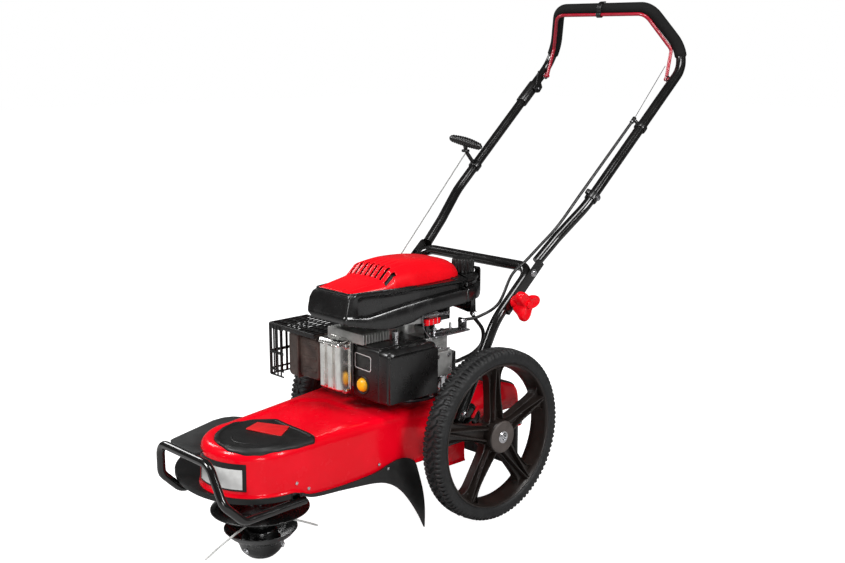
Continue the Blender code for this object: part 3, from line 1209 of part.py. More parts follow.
def build_cable_parts():
    """The bail's inner wire, its stop on the tube, the control cable and the clip that holds it."""
    place = along_handle(STOP_UP, 0, tube_x_at(STOP_UP))
    stop = clamp("cable_stop", STOP_UP, 0.006, 0.006, 1)
    front = place - HANDLE_BACK * 0.024 + Vector((-0.008, 0, 0))
    join(stop, tube("stop_arm", [place - HANDLE_BACK * (TUBE_R + 0.001) + Vector((-0.003, 0, 0)), front], 0.004,
                    "black_plastic", 2))
    join(stop, tube("stop_ferrule", [front - HANDLE_UP * 0.010, front + HANDLE_UP * 0.006], 0.0045, "black_plastic",
                    2))
    wire_low = front + HANDLE_UP * (0.006 + GAP)
    pivot = along_handle(BAIL_PIVOT_UP)
    elbow = Vector((BAIL_ELBOW_X, BAIL_ELBOW_Y, BAIL_ELBOW_Z))
    leg_at = Vector((BAIL_LEG_X, pivot.y, pivot.z)).lerp(elbow, 0.45)
    wire_high = leg_at + Vector((-BAIL_R - 0.0012, -BAIL_R - 0.001, 0))
    tube("bail_wire", [wire_low.lerp(wire_high, step / 6) for step in range(7)], 0.0008, "steel", 2)
    clip_at = along_handle(CLIP_UP, 0, tube_x_at(CLIP_UP))
    side = clip_at + Vector((TUBE_R + 0.0015, 0, 0))
    nut = rod("clip_nut", side, side + Vector((0.006, 0, 0)), 0.007, "black_plastic", 6)
    clamp("cable_clip", CLIP_UP, 0.010, 0.010, 1, nut)
    touch = TUBE_R + CABLE_R + 2 * GAP
    start = front - HANDLE_UP * (0.010 + GAP)
    route = [start, start.lerp(along_handle(0.120, -touch - 0.002, tube_x_at(0.120) - 0.004), 0.35),
             start.lerp(along_handle(0.120, -touch - 0.002, tube_x_at(0.120) - 0.004), 0.7),
             along_handle(0.120, -touch - 0.002, tube_x_at(0.120) - 0.004),
             along_handle(0.060, -touch - 0.001, 0.164), along_handle(0.015, -touch - 0.002, 0.156),
             along_handle(-0.030, -touch - 0.006, 0.150), Vector((0.146, 0.085, 0.425)),
             Vector((0.134, 0.040, 0.403)), Vector((0.116, 0.0155, 0.397))]
    tube("control_cable", smooth_path(route, 34), CABLE_R, "black_rubber", 2)


def build_bail_latch():
    """The block on the right tube that holds the bail's latch, and the horned latch itself."""
    x = -tube_x_at(LATCH_UP)
    place = along_handle(LATCH_UP, 0, x)
    block = clamp("latch_block", LATCH_UP, 0.052, 0.012, -1)
    pin_at = place + Vector((TUBE_R + 0.001, 0, 0))
    join(block, rod("latch_pin", pin_at, pin_at + Vector((0.013, 0, 0)), 0.003, "steel", 10))
    base = pin_at + Vector((0.0035, 0, 0))
    outline = [(-0.010, -0.012), (0.004, -0.012), (0.030, -0.030), (0.034, -0.027), (0.018, -0.002), (0.014, 0.010),
               (-0.002, 0.012), (-0.010, 0.006)]
    turn = Matrix((HANDLE_UP, HANDLE_BACK, Vector((-1, 0, 0)))).transposed().to_euler()
    latch = plate("bail_latch", outline, 0.005, "black_plastic", base + Vector((0.0025, 0, 0)), turn)
    cut(latch, rod("latch_hole", pin_at - Vector((0.01, 0, 0)), pin_at + Vector((0.03, 0, 0)), 0.003 + GAP, "steel",
                   12))


def build_mower():
    build_deck()
    build_nose_pad()
    build_front_skirt()
    build_shield_plate()
    build_side_deflector()
    build_bumper()
    build_rear_cover()
    build_rear_flap()
    build_axle()
    build_axle_brackets()
    wheel_parts("left", 1)
    wheel_parts("right", -1)
    build_lower_handle()
    build_upper_handle()
    build_foam_grip()
    build_bail()
    build_bail_clip()
    build_crankcase()
    build_crankshaft()
    build_flywheel()
    build_cylinder()
    build_valve_cover()
    build_muffler()
    build_muffler_guard()
    build_air_filter()
    build_carburettor()
    build_blower_housing()
    build_fuel_tank()
    build_starter_cover()
    build_control_bracket()
    build_fuel_hose()
    build_dipstick()
    build_drive_belt()
    build_spindle()
    build_head()
    build_lines()
    build_knobs()
    build_starter(build_rope_guide())
    build_cable_parts()
    build_bail_latch()


def centre_on_length():
    """Shifts the mower so that the middle of its length stands at Y = 0."""
    bpy.context.view_layer.update()
    graph = bpy.context.evaluated_depsgraph_get()
    ends = []
    for name in ("front_bumper", "foam_grip", "upper_handle"):
        seen = bpy.data.objects[name].evaluated_get(graph)
        ends += [(seen.matrix_world @ Vector(corner)).y for corner in seen.bound_box]
    ORIGIN.location.y = -(min(ends) + max(ends)) / 2


build_mower()
centre_on_length()
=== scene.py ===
import json
import math

import bmesh
import bpy
import numpy as np
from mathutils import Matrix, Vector

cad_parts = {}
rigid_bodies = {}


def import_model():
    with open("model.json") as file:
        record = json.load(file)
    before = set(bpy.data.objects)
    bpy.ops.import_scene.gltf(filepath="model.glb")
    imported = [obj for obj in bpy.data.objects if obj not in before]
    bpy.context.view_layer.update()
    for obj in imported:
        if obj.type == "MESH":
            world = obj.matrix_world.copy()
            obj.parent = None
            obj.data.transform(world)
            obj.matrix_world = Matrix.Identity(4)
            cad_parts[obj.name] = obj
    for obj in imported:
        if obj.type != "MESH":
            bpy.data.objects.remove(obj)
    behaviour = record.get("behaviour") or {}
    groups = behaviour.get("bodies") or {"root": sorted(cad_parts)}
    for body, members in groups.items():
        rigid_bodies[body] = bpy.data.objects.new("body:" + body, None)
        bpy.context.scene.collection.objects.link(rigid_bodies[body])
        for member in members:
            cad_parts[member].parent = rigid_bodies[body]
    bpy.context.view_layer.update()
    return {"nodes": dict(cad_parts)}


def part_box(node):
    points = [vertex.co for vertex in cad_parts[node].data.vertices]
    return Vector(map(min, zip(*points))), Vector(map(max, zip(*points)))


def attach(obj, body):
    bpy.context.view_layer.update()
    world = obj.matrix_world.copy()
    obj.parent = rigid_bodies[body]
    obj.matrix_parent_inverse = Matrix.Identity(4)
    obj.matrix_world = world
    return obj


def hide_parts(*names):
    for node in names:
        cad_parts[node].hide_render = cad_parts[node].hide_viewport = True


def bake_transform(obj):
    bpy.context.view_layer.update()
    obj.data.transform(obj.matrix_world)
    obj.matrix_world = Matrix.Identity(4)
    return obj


for old in list(bpy.data.objects):
    bpy.data.objects.remove(old)
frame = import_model()
nodes = frame["nodes"]
axleLow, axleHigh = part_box("axle")
rowShift = np.array([0.0, (axleLow.y + axleHigh.y) / 2, 0.0])  # positions below start under the axle
print("frame loaded:", len(nodes), "nodes")


# Grid tools. A part is (points, quads, caps): its points, its four-cornered faces and its flat ends.

def unit(vectors):
    return vectors / np.maximum(np.linalg.norm(vectors, axis=-1, keepdims=True), 1e-12)


def smoothStep(low, high, values):
    # 0 below low, 1 above high, and 3tt - 2ttt between them
    t = np.clip((values - low) / (high - low), 0, 1)
    return t * t * (3 - 2 * t)


def quadIndex(rows, columns, wrapRows=False, wrapColumns=True):
    # the four corners of each cell of a grid whose points are counted row by row
    r = np.arange(rows if wrapRows else rows - 1)
    c = np.arange(columns if wrapColumns else columns - 1)
    a, b = (m.ravel() for m in np.meshgrid(r, c, indexing="ij"))
    a2, b2 = (a + 1) % rows, (b + 1) % columns
    return np.stack([a * columns + b, a * columns + b2, a2 * columns + b2, a2 * columns + b], axis=1)


def turnedOut(points, quads, caps):
    # the volume is the sum of a . (b x c) over the triangles; where it is negative every face is turned over
    fans = [np.stack([np.full(len(cap) - 2, cap[0]), cap[1:-1], cap[2:]], axis=1) for cap in caps]
    corners = np.vstack([quads[:, [0, 1, 2]], quads[:, [0, 2, 3]]] + fans)
    centred = points - points.mean(axis=0)
    a, b, c = (centred[corners[:, k]] for k in range(3))
    if np.einsum("ij,ij->", a, np.cross(b, c)) < 0:
        return points, quads[:, ::-1], [cap[::-1] for cap in caps]
    return points, quads, caps


def solid(grid, wrapRows=False, caps=True):
    # a grid whose columns close on themselves, with flat caps on its first and last rows
    rows, columns = grid.shape[:2]
    ends = [np.arange(columns)[::-1], np.arange(columns) + (rows - 1) * columns]
    ends = ends if caps and not wrapRows else []
    return turnedOut(grid.reshape(-1, 3), quadIndex(rows, columns, wrapRows), ends)


def openSheet(grid, facing):
    # a grid with free edges, whose summed face normals point along facing
    points, quads = grid.reshape(-1, 3), quadIndex(*grid.shape[:2], wrapColumns=False)
    a, b, c, d = (points[quads[:, k]] for k in range(4))
    if np.cross(c - a, d - b).sum(axis=0) @ np.array(facing, float) < 0:
        quads = quads[:, ::-1]
    return points, quads, []


def roundedPath(points, bends, steps=8):
    # each corner gives way to an arc that touches both of its sides
    points = np.asarray(points, float)
    bends = np.broadcast_to(bends, len(points) - 2)
    path = [points[:1]]
    for before, corner, after, bend in zip(points, points[1:], points[2:], bends):
        back, ahead = unit(before - corner), unit(after - corner)
        half = math.acos(max(-1.0, min(1.0, float(back @ ahead)))) / 2
        if half > math.pi / 2 - 0.005 or bend <= 0:
            path.append(corner[None])
            continue
        sides = min(np.linalg.norm(before - corner), np.linalg.norm(after - corner))
        reach = min(bend / math.tan(half), 0.49 * sides)
        bend = reach * math.tan(half)
        centre = corner + unit(back + ahead) * bend / math.sin(half)
        first, last = unit(corner + back * reach - centre), unit(corner + ahead * reach - centre)
        turn = math.pi - 2 * half
        t = np.linspace(0, 1, steps + 1)[:, None]
        arc = np.sin((1 - t) * turn) * first + np.sin(t * turn) * last
        path.append(centre + bend * arc / math.sin(turn))
    path.append(points[-1:])
    return np.vstack(path)


def roundedLoop(points, bends, steps=5):
    points = np.asarray(points, float)
    bends = np.broadcast_to(bends, len(points))
    return roundedPath(np.vstack([points[-1:], points, points[:1]]), bends, steps)[1:-1]


def smoothPath(points, count):
    # a Catmull-Rom curve through the points, read at equal steps of its parameter
    points = np.asarray(points, float)
    route = np.vstack([2 * points[0] - points[1], points, 2 * points[-1] - points[-2]])
    place = np.linspace(0, len(points) - 1, count)
    index = np.minimum(place.astype(int), len(points) - 2)
    t = (place - index)[:, None]
    a, b, c, d = (route[index + k] for k in range(4))
    square, cubic = 2 * a - 5 * b + 4 * c - d, 3 * b - a - 3 * c + d
    return 0.5 * (2 * b + (c - a) * t + square * t ** 2 + cubic * t ** 3)


def evenPath(path, gap):
    # the same line with its points an equal distance apart
    run = np.concatenate([[0], np.cumsum(np.linalg.norm(np.diff(path, axis=0), axis=1))])
    at = np.linspace(0, run[-1], max(int(run[-1] / gap), 2) + 1)
    return np.stack([np.interp(at, run, path[:, k]) for k in range(3)], axis=1)


def sweep(path, section, reference=(0, 0, 1), wrap=False):
    # path point + across * u + up * v, where across is square to the tangent and to the reference
    path = np.asarray(path, float)
    tangent = unit(np.roll(path, -1, 0) - np.roll(path, 1, 0)) if wrap else unit(np.gradient(path, axis=0))
    across = unit(np.cross(tangent, np.array(reference, float)))
    up = np.cross(across, tangent)
    section = np.broadcast_to(section, (len(path),) + np.shape(section)[-2:])
    grid = path[:, None] + across[:, None] * section[..., :1] + up[:, None] * section[..., 1:]
    return solid(grid, wrapRows=wrap)


def circle(radius, sides=20):
    a = np.arange(sides) * 2 * math.pi / sides
    return np.stack([np.cos(a), np.sin(a)], axis=-1) * radius


def tubePart(path, radius, sides=20, reference=(0, 0, 1), wrap=False):
    # a circle carried along a path; radius is one value or one for each point
    radius = np.broadcast_to(radius, len(path))
    return sweep(path, circle(1, sides)[None] * radius[:, None, None], reference, wrap)


def rodPart(start, end, radius, sides=24, edge=0.0006):
    # a straight round bar whose two ends are drawn in by a small chamfer
    start, end = np.array(start, float), np.array(end, float)
    along = unit(end - start)
    radii = np.array([radius - edge, radius, radius, radius - edge])
    path = np.array([start, start + along * edge, end - along * edge, end])
    return tubePart(path, radii, sides, (0.31, 0.2, 0.93) if abs(along[2]) < 0.9 else (1, 0.1, 0))


def axisFrame(axis):
    # the axis and two directions square to it
    axis = unit(np.array(axis, float))
    side = unit(np.cross(axis, (0, 0, 1.0) if abs(axis[2]) < 0.9 else (1.0, 0, 0)))
    return axis, side, np.cross(axis, side)


def lathe(profile, centre, axis=(0, 0, 1), steps=64, closed=True):
    # centre + axis * height + radius * (side cos a + other sin a) for each profile point and each angle a
    axis, side, other = axisFrame(axis)
    a = np.arange(steps) * 2 * math.pi / steps
    profile = np.asarray(profile, float)
    ring = side * np.cos(a)[:, None] + other * np.sin(a)[:, None]
    grid = np.array(centre, float) + axis * profile[:, None, 1:] + ring[None] * profile[:, None, :1]
    return solid(grid, wrapRows=closed, caps=False)


def place3(u, v, w, axis):
    # flat coordinates u, v and a thickness w, laid square to one axis
    return {"x": np.stack([w, u, v], -1), "y": np.stack([u, w, v], -1), "z": np.stack([u, v, w], -1)}[axis]


def counterClockwise(loop):
    loop = np.asarray(loop, float)
    x, y = loop[:, 0], loop[:, 1]
    return loop if np.sum(x * np.roll(y, -1) - np.roll(x, -1) * y) > 0 else loop[::-1]


def insetLoop(loop, distance):
    # every point moves in along the mitre of its two sides
    ahead, back = unit(np.roll(loop, -1, 0) - loop), unit(loop - np.roll(loop, 1, 0))
    inA, inB = np.stack([-ahead[:, 1], ahead[:, 0]], 1), np.stack([-back[:, 1], back[:, 0]], 1)
    return loop + (inA + inB) * distance / np.maximum(1 + np.sum(inA * inB, 1, keepdims=True), 0.4)


def drawnIn(loop, distance):
    # every point moves in by a distance measured at the middle of each side, so deep insets can't cross
    middle, half = (loop.max(axis=0) + loop.min(axis=0)) / 2, (loop.max(axis=0) - loop.min(axis=0)) / 2
    return middle + (loop - middle) * (1 - np.minimum(distance / half, 0.999))


def insetRows(loop, steps, axis="z", shrink=insetLoop):
    # a row for each (inset, height): the outline drawn in by the inset and laid square to the axis
    return np.stack([place3(*shrink(loop, inset).T, np.full(len(loop), w), axis) for inset, w in steps])


def platePart(loop, low, high, edge=0.001, axis="z", steps=3):
    # an outline with a thickness, drawn in by a quarter circle at both of its faces
    a = np.linspace(0, math.pi / 2, steps + 1)
    insets = np.concatenate([edge * (1 - np.sin(a)), edge * (1 - np.cos(a))])
    heights = np.concatenate([low + edge * (1 - np.cos(a)), high - edge * (1 - np.sin(a))])
    return solid(insetRows(counterClockwise(loop), zip(insets, heights), axis))


def boxPart(low, high, corner=0.002, edge=0.001, axis="z", steps=3):
    # a block: a rectangle with rounded corners, square to the axis, with rounded edges at its two faces
    order = {"x": (1, 2, 0), "y": (0, 2, 1), "z": (0, 1, 2)}[axis]
    u0, v0, w0 = (min(low[k], high[k]) for k in order)
    u1, v1, w1 = (max(low[k], high[k]) for k in order)
    corner = min(corner, (u1 - u0) * 0.49, (v1 - v0) * 0.49)
    loop = roundedLoop([(u0, v0), (u1, v0), (u1, v1), (u0, v1)], corner, steps)
    return platePart(loop, w0, w1, min(edge, corner * 0.9, (w1 - w0) * 0.45), axis, steps)


def boltPart(centre, axis, radius, tall, washer=1.35):
    # a six-sided head on a round washer, both turned about the bolt's axis
    head = [(0, tall), (radius * 0.82, tall), (radius, tall * 0.82), (radius, 0.0008), (0, 0.0008)]
    plate = [(0, 0.0012), (radius * washer, 0.0012), (radius * washer, 0), (0, 0)]
    return [lathe(head, centre, axis, 6, False), lathe(plate, centre, axis, 28, False)]


# Finishes. Noise on Object coordinates blends the two colours and varies the roughness and the bump.
# Each row: colour, darker shade, roughness from and to, noise scale of the tone and of the grain, bump.

finishes = {
    "redPaint": ((0.78, 0.001, 0.012), (0.7, 0.0008, 0.009), (0.2, 0.28), 9, 900, 0.035,
        {"coat": 0.22, "gloss": 0.12}),
    "crimsonPaint": ((0.36, 0.003, 0.02), (0.29, 0.002, 0.015), (0.28, 0.38), 14, 900, 0.03, {"coat": 0.2}),
    "redPlastic": ((0.82, 0.003, 0.01), (0.74, 0.002, 0.008), (0.26, 0.34), 12, 1600, 0.05,
        {"coat": 0.16, "gloss": 0.16}),
    "blackTube": ((0.004, 0.0038, 0.0038), (0.007, 0.0066, 0.0064), (0.16, 0.24), 8, 1100, 0.02,
        {"coat": 0.2}),
    "blackPlastic": ((0.0042, 0.004, 0.004), (0.007, 0.0066, 0.0066), (0.26, 0.34), 16, 2400, 0.025,
        {"gloss": 0.55}),
    "cowlPlastic": ((0.004, 0.0038, 0.0038), (0.0066, 0.0062, 0.0062), (0.2, 0.29), 12, 2200, 0.03,
        {"gloss": 0.68}),
    "padPlastic": ((0.0042, 0.0042, 0.0042), (0.007, 0.0068, 0.0068), (0.4, 0.52), 16, 1800, 0.12,
        {"gloss": 0.35}),
    "brownPlastic": ((0.0115, 0.0078, 0.0066), (0.0165, 0.0115, 0.0095), (0.3, 0.42), 20, 1700, 0.12,
        {"gloss": 0.4}),
    "capPlastic": ((0.07, 0.056, 0.05), (0.054, 0.043, 0.038), (0.42, 0.55), 40, 1700, 0.1, {}),
    "tyreRubber": ((0.0062, 0.0062, 0.0066), (0.0105, 0.0105, 0.011), (0.48, 0.66), 30, 1300, 0.25,
        {"gloss": 0.4}),
    "blackRubber": ((0.0055, 0.0052, 0.0052), (0.0085, 0.008, 0.008), (0.34, 0.48), 22, 1500, 0.12,
        {"gloss": 0.45}),
    "gripFoam": ((0.0045, 0.0043, 0.0043), (0.0085, 0.0082, 0.0082), (0.8, 0.94), 700, 1400, 0.45,
        {"gloss": 0.2}),
    "greyPlate": ((0.02, 0.021, 0.021), (0.028, 0.029, 0.029), (0.4, 0.52), 14, 1400, 0.14, {"gloss": 0.35}),
    "castAluminium": ((0.44, 0.44, 0.43), (0.34, 0.34, 0.33), (0.3, 0.46), 60, 1500, 0.35, {"metal": 0.6}),
    "polishedAluminium": ((0.8, 0.79, 0.76), (0.66, 0.65, 0.62), (0.16, 0.26), 50, 500, 0.05,
        {"metal": 1.0}),
    "zincSteel": ((0.66, 0.66, 0.67), (0.52, 0.52, 0.54), (0.18, 0.34), 120, 900, 0.06, {"metal": 1.0}),
    "heatedSteel": ((0.115, 0.085, 0.072), (0.055, 0.042, 0.038), (0.38, 0.62), 26, 900, 0.2,
        {"metal": 0.7}),
    "heatedShell": ((0.105, 0.084, 0.074), (0.07, 0.056, 0.05), (0.34, 0.52), 24, 900, 0.16, {"metal": 0.6}),
    "darkSteel": ((0.08, 0.08, 0.085), (0.05, 0.05, 0.055), (0.35, 0.5), 60, 900, 0.12, {"metal": 0.9}),
    "yellowRubber": ((0.88, 0.46, 0.004), (0.76, 0.36, 0.004), (0.3, 0.42), 60, 1500, 0.05, {}),
    "nylonLine": ((0.62, 0.62, 0.6), (0.5, 0.5, 0.49), (0.3, 0.42), 200, 1500, 0.05, {}),
    "rope": ((0.34, 0.34, 0.33), (0.22, 0.22, 0.21), (0.8, 0.95), 900, 1600, 0.6, {}),
    "whiteInk": ((0.62, 0.62, 0.61), (0.55, 0.55, 0.54), (0.42, 0.52), 80, 1500, 0.04, {}),
    "redInk": ((0.62, 0.01, 0.012), (0.54, 0.008, 0.01), (0.34, 0.44), 60, 1500, 0.04, {}),
}


def makeFinish(name):
    found = bpy.data.materials.get(name)
    if found:
        return found
    color, shade, roughness, toneScale, grainScale, strength, extra = finishes[name]
    material = bpy.data.materials.new(name)
    material.use_nodes = True
    tree, shader = material.node_tree, material.node_tree.nodes["Principled BSDF"]
    shader.inputs["Metallic"].default_value = extra.get("metal", 0.0)
    shader.inputs["Coat Weight"].default_value = extra.get("coat", 0.0)
    shader.inputs["Coat Roughness"].default_value = 0.05
    shader.inputs["Specular IOR Level"].default_value = extra.get("gloss", 0.5)
    place = tree.nodes.new("ShaderNodeTexCoord")

    def noise(scale, detail):
        node = tree.nodes.new("ShaderNodeTexNoise")
        node.inputs["Scale"].default_value = scale
        node.inputs["Detail"].default_value = detail
        tree.links.new(place.outputs["Object"], node.inputs["Vector"])
        return node.outputs["Fac"]

    tone = tree.nodes.new("ShaderNodeValToRGB")
    tone.color_ramp.elements[0].position, tone.color_ramp.elements[1].position = 0.38, 0.62
    tone.color_ramp.elements[0].color = shade + (1,)
    tone.color_ramp.elements[1].color = color + (1,)
    tree.links.new(noise(toneScale, 4), tone.inputs["Fac"])
    tree.links.new(tone.outputs["Color"], shader.inputs["Base Color"])
    rough = tree.nodes.new("ShaderNodeMapRange")
    rough.inputs["From Min"].default_value, rough.inputs["From Max"].default_value = 0.35, 0.65
    rough.inputs["To Min"].default_value, rough.inputs["To Max"].default_value = roughness
    tree.links.new(noise(toneScale * 3.7, 3), rough.inputs["Value"])
    tree.links.new(rough.outputs["Result"], shader.inputs["Roughness"])
    bump = tree.nodes.new("ShaderNodeBump")
    bump.inputs["Strength"].default_value = strength
    bump.inputs["Distance"].default_value = 0.0006
    tree.links.new(noise(grainScale, 2), bump.inputs["Height"])
    tree.links.new(bump.outputs["Normal"], shader.inputs["Normal"])
    return material


def flatten(parts, finish=None):
    # lists of parts within lists become one list of (part, finish)
    found = []
    for part in parts:
        if isinstance(part, list):
            found += flatten(part, finish)
        elif isinstance(part[1], str):
            found += flatten([part[0]], part[1])
        else:
            found.append((part, finish))
    return found


def makePiece(name, parts, body, replaces=(), angle=32, wall=0.0):
    # the parts' arrays are stacked into one mesh, in the row frame, with one material for each finish
    parts = flatten(parts)
    looks = list(dict.fromkeys(finish for _, finish in parts))
    points, faces, index, start = [], [], [], 0
    for (verts, quads, caps), finish in parts:
        points.append(verts)
        faces += (quads + start).tolist() + [(cap + start).tolist() for cap in caps]
        index += [looks.index(finish)] * (len(quads) + len(caps))
        start += len(verts)
    mesh = bpy.data.meshes.new(name)
    mesh.from_pydata((np.vstack(points) + rowShift).tolist(), [], faces)
    for finish in looks:
        mesh.materials.append(makeFinish(finish))
    mesh.polygons.foreach_set("material_index", index)
    shape = bmesh.new()
    shape.from_mesh(mesh)
    bmesh.ops.remove_doubles(shape, verts=shape.verts, dist=0.00001)
    bmesh.ops.dissolve_degenerate(shape, edges=shape.edges, dist=0.000001)
    shape.to_mesh(mesh)
    shape.free()
    mesh.shade_smooth()
    mesh.set_sharp_from_angle(angle=math.radians(angle))
    piece = bpy.data.objects.new(name, mesh)
    bpy.context.scene.collection.objects.link(piece)
    if wall:
        step = piece.modifiers.new("wall", "SOLIDIFY")
        step.thickness = abs(wall)
        step.offset = -1 if wall > 0 else 0
    if body:
        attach(piece, body)
    if replaces:
        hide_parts(*replaces)
    return piece


def dress(finish, *names):
    # carried-over CAD nodes keep their mesh and take a finish
    for name in names:
        mesh = nodes[name].data
        mesh.materials.clear()
        mesh.materials.append(makeFinish(finish))


# The handle's side view: a point is a distance up the handle from its pivot and a distance behind its line.

handle = {"pivot": (0.156, 0.485), "angle": math.radians(41.3), "tube": 0.011, "legX": 0.165,
          "foot": (-0.05, 0.206), "straight": 0.132, "crossbarUp": 0.012, "crossbarBend": 0.034,
          "start": 0.03, "kink": (0.1, 0.176), "spread": (0.195, 0.195), "elbow": (0.661, 0.2),
          "elbowBend": 0.07, "gripCorner": (0.134, 0.588, 1.034), "gripBend": 0.04, "foam": 0.0136,
          "channel": 0.0024, "gap": 0.0003, "knobUp": -0.079, "clipUp": 0.222, "guideUp": 0.275,
          "stopUp": 0.435, "latchUp": 0.545, "bailUp": 0.59, "bailX": 0.178,
          "bailElbow": (0.175, 0.619, 0.941)}
webX = handle["legX"] + handle["tube"] + handle["gap"] + handle["channel"]
handleUp = np.array([0, math.cos(handle["angle"]), math.sin(handle["angle"])])
handleBack = np.array([0, math.sin(handle["angle"]), -math.cos(handle["angle"])])


def alongHandle(up, back=0.0, x=0.0):
    return np.array([x, *handle["pivot"]]) + handleUp * up + handleBack * back


def tubeX(up):
    # the upper tube's distance from the middle, read between the places where it bends
    stations = [(handle["start"], handle["legX"] + 0.0027), handle["kink"], handle["spread"], handle["elbow"]]
    return float(np.interp(up, [s[0] for s in stations], [s[1] for s in stations]))


# Deck

deck = {"nearX": 0.144, "farX": -0.144, "flareY": -0.105, "noseY": -0.457, "noseR": 0.105, "noseFarX": -0.07,
        "rearY": -0.01, "skirtZ": 0.155, "nearZ": 0.135, "deepZ": 0.105, "deepFrom": -0.125, "deepTo": -0.07,
        "topZ": 0.242, "shoulder": 0.02, "lean": 0.003, "thick": 0.003, "pocket": 0.0036, "pocketRim": 0.014,
        "crown": 0.0015}
noseMiddle, noseHalf = (deck["nearX"] + deck["noseFarX"]) / 2, (deck["nearX"] - deck["noseFarX"]) / 2


def deckFarX(y):
    share = np.clip((deck["flareY"] - y) / (deck["flareY"] - deck["noseY"]), 0, 1)
    return deck["farX"] + share * (deck["noseFarX"] - deck["farX"])


def deckLoop(inset, sideSteps=90, noseSteps=96, rearSteps=16):
    # up the right wall, round the nose on a half ellipse, down the left wall and back along the rear edge
    y = np.linspace(deck["rearY"], deck["noseY"], sideSteps)
    half, reach = noseHalf - inset, deck["noseR"] - inset
    a = np.linspace(0, math.pi, noseSteps + 1)[1:-1]
    far = np.stack([deckFarX(y) + inset, y], 1)
    nose = np.stack([noseMiddle - half * np.cos(a), deck["noseY"] - reach * np.sin(a)], 1)
    near = np.stack([np.full(sideSteps, deck["nearX"] - inset), y[::-1]], 1)
    rear = np.linspace(near[-1], far[0], rearSteps + 1)[1:-1]
    return np.vstack([far, nose, near, rear])


def deckRise(x, y):
    # a low crown, and a shallow pocket in front of the engine: full depth inside the right edge and the arch
    arch = -0.222 - 0.35 * np.maximum(-0.03 - x, 0) ** 1.35 * 8 - 0.05 * smoothStep(0.09, 0.16, x)
    inside = smoothStep(0.012, 0.026, x - deckFarX(y) - deck["pocketRim"]) * smoothStep(0, 0.018, arch - y)
    inside = inside * (1 - smoothStep(0.02, 0.12, x))
    return deck["crown"] * (1 - (x / 0.15) ** 2) - deck["pocket"] * inside


def makeDeck():
    # rows from the rolled hem up the wall, round the shoulder and over the top to a line down its middle
    rim = deckLoop(0)
    x, y = rim.T
    high = deck["skirtZ"] + (deck["nearZ"] - deck["skirtZ"]) * smoothStep(-0.457, -0.4, y) * (x > 0)
    skirt = high + (deck["deepZ"] - high) * smoothStep(deck["deepFrom"], deck["deepTo"], y)
    hem = ((-0.0022, 0), (-0.0024, 0.0012), (-0.0016, 0.003), (-0.0004, 0.0046), (0, 0.008))
    rows = [np.column_stack([deckLoop(inset), skirt + up]) for inset, up in hem]
    straight = deck["topZ"] - deck["shoulder"]
    for share in (0.35, 0.7, 1.0):
        z = skirt + 0.008 + (straight - skirt - 0.008) * share
        rows.append(np.column_stack([deckLoop(deck["lean"] * share), z]))
    for turn in np.linspace(0, math.pi / 2, 9)[1:]:
        inset = deck["lean"] + (deck["shoulder"] - deck["lean"]) * (1 - math.cos(turn))
        z = straight + deck["shoulder"] * math.sin(turn)
        rows.append(np.column_stack([deckLoop(inset), np.full(len(rim), z)]))
    edge = rows[-1]
    spine = np.clip(edge[:, 1], deck["noseY"], deck["rearY"] - 0.06)
    middle = np.column_stack([np.full(len(edge), 0.03), spine])
    for share in np.concatenate([np.linspace(0.02, 0.5, 44), np.linspace(0.53, 1, 16)]):
        flat = edge[:, :2] + (middle - edge[:, :2]) * share
        fade = smoothStep(0, 0.12, share)
        rows.append(np.column_stack([flat, edge[:, 2] + fade * deckRise(*flat.T)]))
    shell = turnedOut(np.stack(rows).reshape(-1, 3), quadIndex(len(rows), len(rim)), [])
    makePiece("deckShell", [(shell, "redPaint")], "chassis", ["deck_shell"], 50, deck["thick"])


def deckTop(x, y):
    # the height of the deck's outside at a place: the flat top, and its rounded shoulder near the edge
    noseY, noseR, lean, shoulder = (deck[key] for key in ("noseY", "noseR", "lean", "shoulder"))
    nose = (1 - np.hypot((x - noseMiddle) / noseHalf, np.maximum(noseY - y, 0) / noseR)) * noseR
    walls = np.minimum(deck["nearX"] - x, x - deckFarX(y))
    inside = np.minimum(np.where(y < noseY, nose, 1), walls)
    cosine = np.clip(1 - (inside - lean) / (shoulder - lean), 0, 1)
    flat = smoothStep(shoulder, shoulder + 0.01, inside)
    return deck["topZ"] - shoulder + shoulder * np.sqrt(1 - cosine ** 2) + flat * deckRise(x, y)


